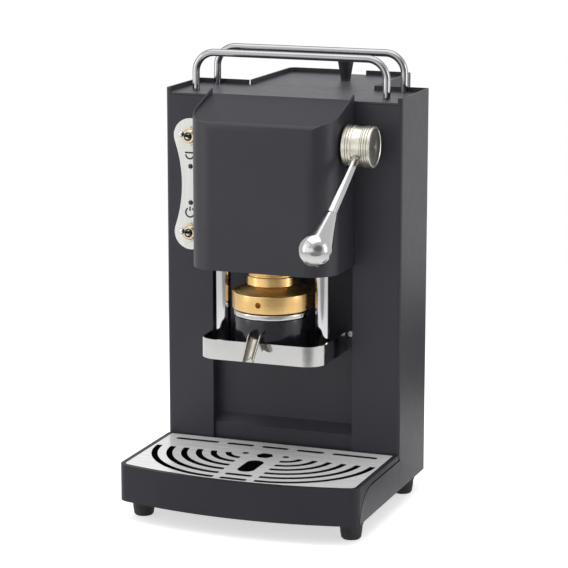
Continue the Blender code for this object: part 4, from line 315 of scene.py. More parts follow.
class Look:
    """A material under construction, with its shader and a way to add nodes."""

    def __init__(self, name, colour, roughness, metallic=0.0):
        self.material = bpy.data.materials.new(name)
        self.material.use_nodes = True
        self.tree = self.material.node_tree
        self.shader = self.tree.nodes["Principled BSDF"]
        self.shader.inputs["Base Color"].default_value = (*colour, 1)
        self.shader.inputs["Roughness"].default_value = roughness
        self.shader.inputs["Metallic"].default_value = metallic
        self.colour = colour
        self.roughness = roughness
        self.spot = self.add("ShaderNodeTexCoord").outputs["Object"]

    def add(self, kind, **settings):
        node = self.tree.nodes.new(kind)
        for key, value in settings.items():
            setattr(node, key, value)
        return node

    def link(self, source, target):
        self.tree.links.new(source, target)

    def noise(self, scale, detail, vector=None):
        node = self.add("ShaderNodeTexNoise")
        node.inputs["Scale"].default_value = scale
        node.inputs["Detail"].default_value = detail
        self.link(vector or self.spot, node.inputs["Vector"])
        return node.outputs["Fac"]

    def length(self, vector):
        node = self.add("ShaderNodeVectorMath", operation="LENGTH")
        self.link(vector, node.inputs[0])
        return node.outputs["Value"]

    def stretched(self, scale):
        """Coordinates that draw noise out into the streaks of a brushed face."""
        node = self.add("ShaderNodeMapping")
        node.inputs["Scale"].default_value = scale
        self.link(self.spot, node.inputs["Vector"])
        return node.outputs["Vector"]

    def turning(self):
        """Coordinates that follow a lathe's marks: distance from the axis, and height."""
        split = self.add("ShaderNodeSeparateXYZ")
        self.link(self.spot, split.inputs[0])
        made = self.add("ShaderNodeCombineXYZ")
        self.link(self.length(self.stretched((1, 1, 0))), made.inputs["X"])
        self.link(split.outputs["Z"], made.inputs["Z"])
        return made.outputs[0]

    def ranged(self, source, low, high, source_low=0.3, source_high=0.7):
        """Maps the source's range onto low to high. Noise lies mostly between 0.3 and 0.7."""
        node = self.add("ShaderNodeMapRange")
        node.inputs["From Min"].default_value = source_low
        node.inputs["From Max"].default_value = source_high
        node.inputs["To Min"].default_value = low
        node.inputs["To Max"].default_value = high
        self.link(source, node.inputs["Value"])
        return node.outputs["Result"]

    def vary_roughness(self, source, spread):
        self.link(self.ranged(source, self.roughness - spread, self.roughness + spread),
                  self.shader.inputs["Roughness"])

    def vary_colour(self, source, low_share, high_share):
        mix = self.add("ShaderNodeMix", data_type="RGBA")
        darker = (c * low_share for c in self.colour)
        lighter = (min(1, c * high_share) for c in self.colour)
        mix.inputs[MIX_FIRST].default_value = (*darker, 1)
        mix.inputs[MIX_SECOND].default_value = (*lighter, 1)
        self.link(self.ranged(source, 0, 1), mix.inputs[MIX_SHARE])
        self.link(mix.outputs[MIX_RESULT], self.shader.inputs["Base Color"])

    def bump(self, source, strength, distance):
        node = self.add("ShaderNodeBump")
        node.inputs["Strength"].default_value = strength
        node.inputs["Distance"].default_value = distance
        self.link(source, node.inputs["Height"])
        self.link(node.outputs["Normal"], self.shader.inputs["Normal"])

    def show(self, surface):
        """Puts another surface in place of the plain shader."""
        self.link(surface, self.tree.nodes["Material Output"].inputs["Surface"])


def powder_coat(name, colour, roughness, gloss=0.28):
    """A fine-grained satin coat with a faint drift of tone."""
    look = Look(name, colour, roughness)
    look.shader.inputs["Specular IOR Level"].default_value = gloss
    look.vary_colour(look.noise(14, 4), 0.92, 1.08)
    look.vary_roughness(look.noise(90, 3), 0.02)
    look.bump(look.noise(2600, 2), 0.16, 0.00005)
    return look.material


def polished_metal(name, colour, roughness):
    look = Look(name, colour, roughness, 1.0)
    look.vary_colour(look.noise(40, 3), 0.95, 1.03)
    look.vary_roughness(look.noise(120, 4), roughness * 0.6)
    look.bump(look.noise(700, 2), 0.03, 0.00003)
    return look.material


def brushed_metal(name, colour, roughness, scale=(25, 2600, 2600), metallic=1.0):
    look = Look(name, colour, roughness, metallic)
    streaks = look.noise(1, 3, look.stretched(scale))
    look.vary_colour(streaks, 0.86, 1.1)
    look.vary_roughness(streaks, 0.09)
    look.bump(streaks, 0.1, 0.00003)
    return look.material


def turned_metal(name, colour, roughness, scale=2600, relief=0.2):
    """Metal with the rings that a lathe leaves round the piece's Z axis."""
    look = Look(name, colour, roughness, 1.0)
    marks = look.noise(scale, 2, look.turning())
    look.vary_colour(look.noise(50, 3), 0.9, 1.08)
    look.vary_roughness(marks, 0.08)
    look.bump(marks, relief, 0.00004)
    return look.material


def moulded(name, colour, roughness, grain=0.2):
    look = Look(name, colour, roughness)
    look.vary_colour(look.noise(30, 3), 0.85, 1.15)
    look.vary_roughness(look.noise(200, 3), 0.06)
    look.bump(look.noise(1800, 3), grain, 0.00008)
    return look.material


def clear_plastic(name, colour, roughness):
    look = Look(name, colour, roughness)
    look.shader.inputs["Transmission Weight"].default_value = 0.85
    look.shader.inputs["IOR"].default_value = 1.49
    look.vary_roughness(look.noise(60, 3), roughness * 0.5)
    look.bump(look.noise(120, 2), 0.05, 0.0001)
    return look.material


# Coats
COAT = powder_coat("black_powder_coat", (0.03, 0.0288, 0.0372), 0.42)
# Painted sheen: a lighter copy of the black coat for the deck and lid, for the light their tops
# catch
COAT_TOP_SHEEN = powder_coat("deck_coat_painted_sheen", (0.046, 0.044, 0.054), 0.42)
# Painted shade: a darker, less glossy copy of the black coat for the drip tray
TRAY_COAT_SHADE = powder_coat("tray_coat_painted_shade", (0.024, 0.023, 0.0305), 0.42, 0.15)

# Polished metals
CHROME = polished_metal("chrome_plate", (0.56, 0.56, 0.57), 0.08)
# Painted shade: a darker copy of the chrome for the lever, standing in for its dark reflections
LEVER_CHROME_SHADE = polished_metal("lever_chrome_painted_shade", (0.45, 0.45, 0.455), 0.1)
# Painted shade: a darker copy of the chrome for the rails, standing in for their dark reflections
RAIL_SHADE = polished_metal("rail_chrome_painted_shade", (0.32, 0.32, 0.33), 0.12)
STEEL = polished_metal("polished_stainless", (0.53, 0.525, 0.52), 0.13)
# Painted shade: a darker copy of the polished stainless for the spout's dark reflections
SPOUT_SHADE = polished_metal("spout_stainless_painted_shade", (0.3, 0.28, 0.25), 0.22)

# Brushed metals
GRILLE = brushed_metal("satin_grille_steel", (0.86, 0.86, 0.86), 0.22, metallic=0.15)
PLATE = brushed_metal("satin_plate_steel", (0.66, 0.66, 0.64), 0.5, (2600, 2600, 25), 0.6)
ZINC = brushed_metal("zinc_plate", (0.52, 0.53, 0.55), 0.42)

# Turned metals
NUTS = turned_metal("gilt_nickel", (0.6, 0.52, 0.38), 0.28)
SCREEN = turned_metal("screen_stainless", (0.55, 0.55, 0.55), 0.34)
NICKEL = turned_metal("satin_nickel", (0.56, 0.535, 0.47), 0.32, 900, 0.08)
# Painted shade: a darker copy of the satin nickel for the hub's flat face
HUB_FACE_SHADE = turned_metal("hub_face_painted_shade", (0.27, 0.26, 0.235), 0.36, 900, 0.08)
BRASS = turned_metal("turned_brass", (0.7, 0.46, 0.19), 0.26)
BRONZE = turned_metal("bushing_bronze", (0.5, 0.33, 0.18), 0.4)
GEAR = turned_metal("milled_steel", (0.45, 0.45, 0.46), 0.38)

# Plastics, rubber, glass and ink
# Painted shade: a dark material for the grille's slot and rim walls, where shade falls
SLOT_WALL_SHADE = moulded("slot_wall_painted_shade", (0.03, 0.03, 0.031), 0.6, 0.05)
PLASTIC = moulded("black_moulding", (0.018, 0.018, 0.02), 0.38)
HOLDER = moulded("holder_moulding", (0.012, 0.011, 0.018), 0.16, 0.05)
RUBBER = moulded("black_rubber", (0.01, 0.01, 0.011), 0.75, 0.4)
SILICONE = moulded("red_silicone", (0.36, 0.07, 0.05), 0.55)
TUBING = moulded("white_tubing", (0.72, 0.72, 0.69), 0.42, 0.05)
CLEAR = clear_plastic("tank_plastic", (0.72, 0.8, 0.84), 0.12)
LENS = moulded("lamp_lens", (0.02, 0.014, 0.014), 0.25, 0.02)
INK = moulded("black_ink", (0.012, 0.012, 0.012), 0.5, 0.05)


# CAD pieces that keep their shape

def finish_cad_nodes():
    """Materials and small round edges for the pieces that the CAD already draws well."""
    kept = (
        (COAT, FINE_EDGE, ("base_plate", "rear_housing", "recess_panel", "side_panel_left",
                           "side_panel_right")),
        (COAT_TOP_SHEEN, FINE_EDGE, ("cup_deck", "tank_lid")),
        (ZINC, FINE_EDGE, ("boiler_saddle", "column_tie_plate", "group_frame")),
        (ZINC, ROUND_EDGE, ("head_crosshead",)),
        (CLEAR, ROUND_EDGE, ("water_tank",)),
        (RUBBER, SOFT_EDGE, ("pump_saddle",)),
        (PLASTIC, SOFT_EDGE, ("switch_body_lower", "switch_body_upper")),
        (PLASTIC, 0, ("tank_valve", "water_pump")),
        (BRASS, 0, ("boiler", "hose_fitting")),
        (BRONZE, 0, ("shaft_bushing_left", "shaft_bushing_right")),
        (GEAR, 0, ("drive_rack", "shaft_pinion")),
        (CHROME, 0, ("lever_shaft",)),
        (TUBING, 0, ("pressure_hose", "suction_hose")),
    )
    for look, width, names in kept:
        for name in names:
            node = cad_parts[name]
            node.data.materials.clear()
            node.data.materials.append(look)
            if width:
                ease_edges(node, width)
            else:
                add_weld(node)
                smooth(node.data)


# Lever

LEVER_Y = -0.0225
LEVER_Z = 0.2978
LEVER_REST = math.radians(31.1)
HUB_INNER_X = 0.0622
HUB_MIDDLE_X = 0.0737
HUB_LENGTH = 0.023
HUB_RADIUS = 0.0163
HUB_FACE_RADIUS = 0.0143
ROD_RADIUS = 0.0038
ROD_START = 0.0115
KNOB_NECK = 0.0818
KNOB_NECK_RADIUS = 0.005
KNOB_CENTRE = 0.1214
KNOB_RADIUS = 0.0126


def knob_profile():
    """A ball with a long, slightly hollow neck that narrows towards the rod."""
    ball_steps, neck_steps, hollow, lip_round = 40, 24, 1.1, 0.0004
    span = KNOB_CENTRE - KNOB_NECK
    meet = math.asin((KNOB_RADIUS - KNOB_NECK_RADIUS) / span)
    swing = math.pi / 2 + meet
    turns = [math.pi / 2 - swing * i / ball_steps for i in range(ball_steps + 1)]
    ball = [(KNOB_RADIUS * math.cos(a), KNOB_CENTRE + KNOB_RADIUS * math.sin(a)) for a in turns]
    meet_radius, meet_place = ball[-1]
    neck = []
    for i in range(1, neck_steps):
        share = 1 - i / neck_steps
        neck.append((KNOB_NECK_RADIUS + (meet_radius - KNOB_NECK_RADIUS) * share ** hollow,
                     KNOB_NECK + (meet_place - KNOB_NECK) * share))
    lip = rounded([(KNOB_NECK_RADIUS, KNOB_NECK + 0.001),
                   (KNOB_NECK_RADIUS, KNOB_NECK, lip_round), (ROD_RADIUS, KNOB_NECK)], 4)
    return [(0, ball[0][1])] + ball[1:] + neck + lip + [(0, KNOB_NECK)]


def grooves(places):
    """The hub's grooves, each a narrow trapezium, from the top down."""
    floor, mouth_half, floor_half = HUB_RADIUS - 0.0008, 0.0005, 0.0003
    made = []
    for place_z in places:
        made += [(HUB_RADIUS, place_z + mouth_half), (floor, place_z + floor_half),
                 (floor, place_z - floor_half), (HUB_RADIUS, place_z - mouth_half)]
    return made


def hub_profile():
    """A satin barrel with two grooved ends, a waist between them and a flat face with a dimple."""
    top, waist, rim, bore, bore_depth = HUB_LENGTH, 0.0157, 0.0006, 0.0064, 0.002
    profile = [(0, top - 0.0007), (0.0008, top - 0.0006), (0.0012, top - 0.0004),
               (HUB_FACE_RADIUS, top - 0.0004), (0.0147, top - 0.0001)]
    profile += rounded([(0.0148, top), (HUB_RADIUS, top, rim), (HUB_RADIUS, top - 0.001)], 5)
    profile += grooves((top - 0.0022, top - 0.0042, top - 0.0062))
    profile += rounded([(HUB_RADIUS, 0.016), (HUB_RADIUS, 0.0155, 0.0002),
                        (waist, 0.0149, 0.0003), (waist, 0.0081, 0.0003),
                        (HUB_RADIUS, 0.0075, 0.0002), (HUB_RADIUS, 0.007)], 4)
    profile += grooves((0.0057, 0.0037))
    profile += rounded([(HUB_RADIUS, 0.001), (HUB_RADIUS, 0, rim), (bore, 0)], 5)
    return profile + [(bore, bore_depth), (0, bore_depth)]


def make_lever():
    pivot = Vector((HUB_MIDDLE_X, LEVER_Y, LEVER_Z))
    lean = (math.pi / 2 + LEVER_REST, 0, 0)
    hub = turned("lever_hub_turned", hub_profile())
    place(hub, "lever", NICKEL, ["lever_hub"], (HUB_INNER_X, LEVER_Y, LEVER_Z),
          (0, math.pi / 2, 0))
    # The flat face gets the darker copy of the nickel, as painted shade
    hub.data.materials.append(HUB_FACE_SHADE)
    for face in hub.data.polygons:
        if face.center.z > HUB_LENGTH - 0.001 and face.center.xy.length < HUB_FACE_RADIUS:
            face.material_index = 1
    rod_end, end_round = KNOB_NECK - GAP, 0.0003
    stem = turned("lever_rod_polished", [
        (0, rod_end), (ROD_RADIUS, rod_end, end_round), (ROD_RADIUS, ROD_START, end_round),
        (0, ROD_START)], arc_steps=3, steps=SMALL_STEPS)
    place(stem, "lever", LEVER_CHROME_SHADE, ["lever_rod"], pivot, lean)
    place(turned("lever_knob_polished", knob_profile()), "lever", LEVER_CHROME_SHADE,
          ["lever_knob"], pivot, lean)


# Rails and columns

RAIL_X = 0.081
RAIL_TOP = 0.361
RAIL_BEND = 0.016
RAIL_RADIUS = 0.003
RAIL_Y = (("front", 0.018), ("rear", 0.064))


def make_rails():
    foot = DECK_TOP + GAP
    path = rounded([(-RAIL_X, foot), (-RAIL_X, RAIL_TOP, RAIL_BEND), (RAIL_X, RAIL_TOP, RAIL_BEND),
                    (RAIL_X, foot)], 20)
    for word, y in RAIL_Y:
        rail = tube(f"rail_{word}_chrome", [(x, 0, z) for x, z in path], RAIL_RADIUS)
        place(rail, BODY, RAIL_SHADE, [f"rail_{word}"], (0, y, 0))


GROUP_Y = -0.0215
COLUMN_X = 0.042
COLUMN_RADIUS = 0.006
COLUMN_TOP = 0.2607
COLUMN_FOOT = 0.1283


def make_columns():
    for word, side in SIDES:
        column = turned(f"guide_column_{word}_chrome", [
            (0, COLUMN_TOP), (COLUMN_RADIUS, COLUMN_TOP, 0.0006),
            (COLUMN_RADIUS, COLUMN_FOOT, 0.0003), (0, COLUMN_FOOT)], arc_steps=4)
        place(column, BODY, CHROME, [f"guide_column_{word}"],
              (side * COLUMN_X, GROUP_Y, 0))


# Brass head, seal, screen and hose

def make_head():
    """The brass head: a grooved neck, a cone and a ring with a key hole in its front."""
    neck, neck_floor, ring, skirt = 0.021, 0.0202, 0.032, 0.0261
    top, bottom, inside, fine = 0.2107, 0.1648, 0.1678, 0.0001
    head = turned("brass_head_turned", [
        (0, top), (neck, top, 0.0004), (neck, 0.1938, fine), (neck_floor, 0.193, fine),
        (neck_floor, 0.192, fine), (neck, 0.1912, fine), (neck, 0.1846, 0.0005),
        (ring - 0.0008, 0.1792, 0.0006), (ring, 0.1786, 0.0005), (ring, bottom, 0.0008),
        (skirt, bottom, 0.0002), (skirt, inside, fine), (0, inside)], arc_steps=5)
    key_z, key_depth, key_radius = 0.172, 0.012, 0.0023
    cut(head, rod("key_hole", (0, -ring + key_depth, key_z), (0, -ring - OVERCUT, key_z),
                  key_radius))
    smooth(head.data, 25)
    place(head, "brew_head", BRASS, ["brass_head"], (0, GROUP_Y, 0))


def make_seal():
    inner, outer, top, middle, bottom = 0.0222, 0.0258, 0.1675, 0.167, 0.1628
    top_round, bottom_round = 0.0003, 0.0008
    seal = turned("head_seal_ring", [
        (inner, middle), (inner, top, top_round), (outer, top, top_round),
        (outer, bottom, bottom_round), (inner, bottom, bottom_round),
        (inner, middle)], arc_steps=5)
    place(seal, "brew_head", SILICONE, ["head_seal"], (0, GROUP_Y, 0))


def make_shower_screen():
    """A thin disc with four rings of holes, held by a screw at its middle."""
    ring_pitch, hole_radius, screen_radius, low, high = 0.0044, 0.0008, 0.0216, 0.1655, 0.1662
    holes = []
    for ring in (1, 2, 3, 4):
        count = 6 * ring
        for i in range(count):
            turn = 2 * math.pi * i / count
            spot = (ring * ring_pitch * math.cos(turn), ring * ring_pitch * math.sin(turn))
            holes.append(circle(spot, hole_radius, 12))
    screen = prism("shower_screen_drilled", [circle((0, 0), screen_radius, TURN_STEPS)] + holes,
                   "Z", low, high)
    ease_edges(screen, THIN_EDGE, 1)
    place(screen, "brew_head", SCREEN, ["shower_screen"], (0, GROUP_Y, 0))
    head, socket, socket_top, fine = 0.003, 0.0012, 0.1652, 0.0001
    screw = turned("shower_screen_screw", [
        (0, high), (head, high, fine), (head, 0.1648, 0.0006), (socket, 0.1645, fine),
        (socket, socket_top, fine), (0, socket_top)], arc_steps=3, steps=SMALL_STEPS)
    place(screw, "brew_head", SCREEN, (), (0, GROUP_Y, 0))


def make_group_hose():
    """The hose from the boiler to the head."""
    low, high, bend, hose_radius = (GROUP_Y + 0.004, 0.2316), (0.013, 0.252), 0.014, 0.003
    route = rounded([low, (low[0], high[1], bend), high], 24)
    hose = tube("group_hose_tube", [(0, y, z) for y, z in route], hose_radius)
    hose.data.transform(Matrix.Translation(SHIFT))
    hose.data.materials.append(TUBING)
    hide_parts("group_hose")
    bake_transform(hose)


# Pod holder, bracket and spout

HOLDER_RADIUS = 0.0303
HOLDER_TOP = 0.1592


def make_pod_holder():
    cavity, draft, floor, drain, drain_floor = 0.0217, 0.0008, 0.153, 0.0024, 0.149
    holder = turned("pod_holder_moulded", [
        (0, drain_floor), (drain, drain_floor), (drain, floor, 0.0003), (cavity, floor, 0.0012),
        (cavity + draft, HOLDER_TOP, 0.0004), (HOLDER_RADIUS, HOLDER_TOP, 0.0008),
        (HOLDER_RADIUS, COLUMN_FOOT, 0.0006), (0, COLUMN_FOOT)], arc_steps=6)
    place(holder, BODY, HOLDER, ["pod_holder"], (0, GROUP_Y, 0))
    inner, outer, rim_top, rim_bottom, middle = 0.0262, 0.0311, 0.164, 0.1595, 0.162
    rim = turned("pod_holder_rim_polished", [
        (inner, middle), (inner, rim_top, 0.0005), (outer, rim_top, 0.0012),
        (outer, rim_bottom, 0.001), (inner, rim_bottom, 0.0004),
        (inner, middle)], arc_steps=6)
    place(rim, BODY, STEEL, ["pod_holder_rim"], (0, GROUP_Y, 0))


def make_bracket():
    """A shallow open box with two round front corners, under the pod holder."""
    half, front, radius, low, high, floor_top = 0.052, -0.055, 0.016, 0.126, 0.142, 0.128
    bracket = prism("group_bracket_polished", [apron(half, front, RECESS_FACE, radius)], "Z", low,
                    high)
    inside = apron(half, front, RECESS_FACE + OVERCUT, radius, SHEET)
    cut(bracket, prism("bracket_inside", [inside], "Z", floor_top, high + OVERCUT))
    ease_edges(bracket, ROUND_EDGE, 3)
    place(bracket, BODY, STEEL, ["group_bracket"])


def make_spout():
    """An open channel that turns down and ends in a notch between two points."""
    radius, tip_radius, lip, wall = 0.0048, 0.0041, 0.0008, 0.0009
    fall, run, bend, fall_length, notch = math.radians(50), 0.0045, 0.008, 0.0215, 0.0065
    start_y, start_z = GROUP_Y - HOLDER_RADIUS - GAP, 0.1508
    section_steps, bend_steps = 24, 12
    turns = [math.pi * (i / section_steps - 0.5) for i in range(section_steps + 1)]
    section = [(-radius, lip)] + [(radius * math.sin(a), -radius * math.cos(a)) for a in turns]
    section += [(radius, lip)]
    stations = [(start_y, start_z, 0.0), (start_y - run, start_z, 0.0)]
    for i in range(1, bend_steps + 1):
        turn = fall * i / bend_steps
        stations.append((start_y - run - bend * math.sin(turn),
                         start_z - bend + bend * math.cos(turn), turn))
    work = bmesh.new()
    rows = [[work.verts.new((x, y - rise * math.sin(turn), z + rise * math.cos(turn)))
             for x, rise in section] for y, z, turn in stations]
    last_y, last_z, _ = stations[-1]
    for share in (0.5, 1.0):
        row = []
        for x, rise in section:
            reach = (fall_length - notch * (1 - abs(x) / radius)) * share
            slim = 1 + (tip_radius / radius - 1) * share
            row.append(work.verts.new(
                (x * slim, last_y - reach * math.cos(fall) - rise * slim * math.sin(fall),
                 last_z - reach * math.sin(fall) + rise * slim * math.cos(fall))))
        rows.append(row)
    for row, following in zip(rows, rows[1:]):
        for i in range(len(section) - 1):
            work.faces.new((row[i], row[i + 1], following[i + 1], following[i]))
    bmesh.ops.recalc_face_normals(work, faces=work.faces)
    spout = finish_mesh("coffee_spout_polished", work)
    thick = spout.modifiers.new("thickness", "SOLIDIFY")
    thick.thickness = wall
    thick.offset = 0
    thick.use_even_offset = True
    settle(spout)
    ease_edges(spout, THIN_EDGE)
    place(spout, BODY, SPOUT_SHADE, ["coffee_spout"])


# Hood

def make_hood():
    """A shell with a sloping top sunk between two side flaps, open below and behind."""
    half_width, reach, radius = 0.0606, 0.0565, 0.0225
    bottom, flap_rear, flap_front, rise, edge = 0.198, 0.3305, 0.315, 0.004, 0.008

    def line(rear_z, front_z, y):
        return rear_z + (rear_z - front_z) * y / reach

    def side(name, rear_z, front_z, front, low, corner):
        rear = 2 * OVERCUT
        outline = rounded([(rear, low), (front, low), (front, line(rear_z, front_z, front), corner),
                           (rear, line(rear_z, front_z, rear))], 16)
        return prism(name, [outline], "X", -half_width - OVERCUT, half_width + OVERCUT)

    top = flap_rear + rise
    hood = prism("hood_shell", [apron(half_width, -reach, -GAP, radius)], "Z", bottom,
                 top + OVERCUT)
    combine(hood, side("envelope", top, flap_front, -reach, bottom - OVERCUT, edge), "INTERSECT")
    inside = apron(half_width, -reach, OVERCUT, radius, SHEET)
    cavity = prism("cavity", [inside], "Z", bottom - OVERCUT, top + OVERCUT)
    combine(cavity, side("ceiling", flap_rear - SHEET, flap_front - SHEET, -reach + SHEET,
                         bottom - 2 * OVERCUT, edge - SHEET), "INTERSECT")
    cut(hood, cavity)
    trough = prism("trough", [inside], "Z", bottom, top + 2 * OVERCUT)
    combine(trough, side("floor", flap_rear, flap_front, -reach - OVERCUT, bottom - OVERCUT, 0),
            "DIFFERENCE")
    cut(hood, trough)
    shaft_hole_radius = 0.007
    cut(hood, rod("shaft_hole", (half_width - SHEET - OVERCUT, LEVER_Y, LEVER_Z),
                  (half_width + OVERCUT, LEVER_Y, LEVER_Z), shaft_hole_radius))
    ease_edges(hood, FINE_EDGE)
    place(hood, BODY, COAT, ["brew_hood"])


# Drip tray and grille

TRAY_TOP = 0.046
TRAY_REAR = -0.0005
GRILLE_INSET = 0.004
GRILLE_SEAT = 0.0015
SLOT_WIDTH = 0.005


def tray_outline(inset, rear):
    """The tray from above: straight sides, small corners and a front in one long arc."""
    corner_radius, corner_y, nose_y = 0.009, -0.104, -0.116
    half = HALF_WIDTH - inset
    chord = HALF_WIDTH - corner_radius
    sag = corner_y - nose_y
    bow = (chord ** 2 + sag ** 2) / (2 * sag)
    centre_y = nose_y + bow
    bow -= inset
    radius = corner_radius - inset
    corner_x = half - radius
    place_y = centre_y - math.sqrt((bow - radius) ** 2 - corner_x ** 2)
    swing = math.degrees(math.atan2(place_y - centre_y, corner_x))
    outline = [(-half, rear)]
    outline += arc((-corner_x, place_y), radius, 180, 180 - swing, 12)
    outline += arc((0, centre_y), bow, 180 - swing, 360 + swing, 40)[1:-1]
    outline += arc((corner_x, place_y), radius, swing, 0, 12)
    return outline + [(half, rear)]


def wing_outline(grow, rear):
    """A side panel's low wing beside the tray, seen from the side, with its front a quarter arc."""
    length, height, centre_y, steps = 0.028 + grow, 0.0245 + grow, 0.028 - 0.0954, 16
    turns = [math.pi / 2 * i / steps for i in range(steps + 1)]
    nose = [(centre_y - length * math.sin(a), UNDERSIDE + height * math.cos(a)) for a in turns]
    return [(rear, UNDERSIDE + height)] + nose + [(rear, UNDERSIDE - OVERCUT)]


def ripple(index, side):
    """One curved slot of the grille. Its two edges lie half a slot's width from an ellipse."""
    centre_x, centre_y, top_y, end_radius, steps = 0.017, -0.036, -0.0388, 0.001, 26
    first_x, pitch_x, first_y, pitch_y = 0.0143, 0.012, 0.0142, 0.0113
    half_x = first_x + index * pitch_x
    half_y = first_y + index * pitch_y
    start = math.asin((centre_y - top_y) / half_y)
    edges = []
    for offset in (-SLOT_WIDTH / 2, SLOT_WIDTH / 2):
        edge = []
        for i in range(steps + 1):
            turn = start + (math.pi / 2 - start) * i / steps
            out = Vector((half_y * math.cos(turn), half_x * math.sin(turn))).normalized() * offset
            edge.append((side * (centre_x + half_x * math.cos(turn) + out.x),
                         centre_y - half_y * math.sin(turn) - out.y,
                         end_radius if i in (0, steps) else 0))
        edges.append(edge)
    return rounded(edges[0] + edges[1][::-1], 4)


def grille_holes():
    """A rear row of slots, the openings along the middle, and six curved slots on each side."""
    rear_y, short_half, middle_width = -0.0148, 0.0089, 0.014
    hex_at, hex_radius, hex_round = (0, -0.0386), 0.0072, 0.001
    eye_x, eye_y, eye_radius, ripples = 0.0173, -0.0366, 0.0027, 6
    holes = [slot((low + SLOT_WIDTH / 2, rear_y), (high - SLOT_WIDTH / 2, rear_y), SLOT_WIDTH)
             for low, high in ((-0.087, -0.049), (-0.042, -0.0185), (-0.0115, 0.0115),
                               (0.0185, 0.042), (0.049, 0.087))]
    holes += [slot((-short_half, y), (short_half, y), SLOT_WIDTH) for y in (-0.0957, -0.1074)]
    holes.append(slot((0, -0.0795), (0, -0.0605), middle_width, 16))
    holes.append(rounded([(x, y, hex_round)
                          for x, y in circle(hex_at, hex_radius, 6)], 4))
    holes += [circle((side * eye_x, eye_y), eye_radius) for side in (-1, 1)]
    return holes + [ripple(i, side) for i in range(ripples) for side in (-1, 1)]


def make_tray():
    seat_inset, seat_wall = 0.0035, 0.002
    basin_inset, basin_wall, basin_floor = 0.006, 0.0045, 0.0198
    tray = prism("drip_tray_shell", [tray_outline(0, TRAY_REAR)], "Z", UNDERSIDE + GAP, TRAY_TOP)
    cut(tray, prism("seat", [tray_outline(seat_inset, TRAY_REAR - seat_wall)], "Z",
                    TRAY_TOP - GRILLE_SEAT - GAP, TRAY_TOP + OVERCUT))
    cut(tray, prism("basin", [tray_outline(basin_inset, TRAY_REAR - basin_wall)], "Z",
                    basin_floor, TRAY_TOP))
    base_front, wing_gap, wing_face = -0.0942, 0.0014, 0.0982
    beyond = HALF_WIDTH + OVERCUT
    cut(tray, prism("base_cut", [rectangle((-beyond, base_front), (beyond, OVERCUT))], "Z", 0,
                    BASE_TOP + GAP))
    for side in (-1, 1):
        low, high = sorted((side * wing_face, side * beyond))
        cut(tray, prism("wing_cut", [wing_outline(wing_gap, OVERCUT)], "X", low, high))
    ease_edges(tray, ROUND_EDGE, 3)
    place(tray, "tray", TRAY_COAT_SHADE, ["drip_tray"])


def make_grille():
    """A thin slotted sheet with a folded rim. The walls of its slots, and its rim walls, are
    painted dark as painted shade.
    """
    thin, fold, rear, edge_width = 0.0005, 0.0012, TRAY_REAR - 0.0025, 0.00015
    edge = tray_outline(GRILLE_INSET, rear)
    grille = prism("drip_grille_plate", [edge] + grille_holes(), "Z", TRAY_TOP - thin, TRAY_TOP)
    rim = prism("grille_rim", [edge, tray_outline(GRILLE_INSET + fold, rear - fold)], "Z",
                TRAY_TOP - GRILLE_SEAT, TRAY_TOP - thin / 2)
    combine(grille, rim, "UNION")
    ease_edges(grille, edge_width)
    place(grille, "grille", GRILLE, ["drip_grille"])
    # Painted shade: every steep face of the grille, slot walls and rim walls, gets the dark
    # material
    grille.data.materials.append(SLOT_WALL_SHADE)
    for face in grille.data.polygons:
        if abs(face.normal.z) < 0.5:
            face.material_index = 1


# Switch plate, toggles and lamps

PLATE_X = -0.0785
PLATE_FACE = -0.0013
SWITCH_Z = (("upper", 0.2952), ("lower", 0.2164))
LAMP_Z = (("upper", 0.2704), ("lower", 0.2407))
TO_FRONT = (math.pi / 2, 0, 0)
TOGGLE_LEAN = math.radians(15)


def plate_outline():
    """Two round lobes joined on each side by one long hollow arc."""
    lobe, waist = 0.0143, 0.0076
    upper, lower = SWITCH_Z[0][1], SWITCH_Z[1][1]
    half = (upper - lower) / 2
    hollow = (half ** 2 + waist ** 2 - lobe ** 2) / (2 * (lobe - waist))
    swing = math.degrees(math.asin(half / (lobe + hollow)))
    side = waist + hollow
    outline = arc((PLATE_X, upper), lobe, -swing, 180 + swing, 48)
    outline += arc((PLATE_X - side, lower + half), hollow, swing, -swing, 32)[1:-1]
    outline += arc((PLATE_X, lower), lobe, 180 - swing, 360 + swing, 48)
    outline += arc((PLATE_X + side, lower + half), hollow, 180 + swing, 180 - swing, 32)[1:-1]
    return outline


def stroke(centre, outer, width, start_deg, end_deg, steps):
    """A band of the width along an arc."""
    return (arc(centre, outer, start_deg, end_deg, steps)
            + arc(centre, outer - width, end_deg, start_deg, steps))


def make_symbols():
    """A cup beside the upper lamp and a power sign beside the lower one, printed on the plate."""
    line, depth = 0.0013, 0.00012
    cup_x, cup_z, cup_half, bowl_radius = PLATE_X - 0.0005, 0.2815, 0.0042, 0.004
    handle_at, handle_radius = (cup_x + cup_half, cup_z - 0.0028), 0.0018
    power_x, power_z, ring_radius, ring_gap_deg = PLATE_X - 0.0006, 0.2326, 0.0044, 30
    marks = (
        ("cup_symbol_bowl",
         stroke((cup_x, cup_z - 0.0016), bowl_radius, line, 180, 360, 24)),
        ("cup_symbol_handle", stroke(handle_at, handle_radius, line * 0.7, -100, 80, 12)),
        ("cup_symbol_brim", rectangle((cup_x - cup_half, cup_z - line / 2),
                                      (cup_x + cup_half, cup_z + line / 2), 0.0003, 3)),
        ("power_symbol_ring", stroke((power_x, power_z), ring_radius, line, 90 + ring_gap_deg,
                                     450 - ring_gap_deg, 40)),
        ("power_symbol_bar", rectangle((power_x - line / 2, power_z + 0.0012),
                                       (power_x + line / 2, power_z + 0.0048), 0.0003, 3)),
    )
    for name, loop in marks:
        mark = prism(name, [loop], "Y", PLATE_FACE - depth, PLATE_FACE - HAIR)
        place(mark, BODY, INK)


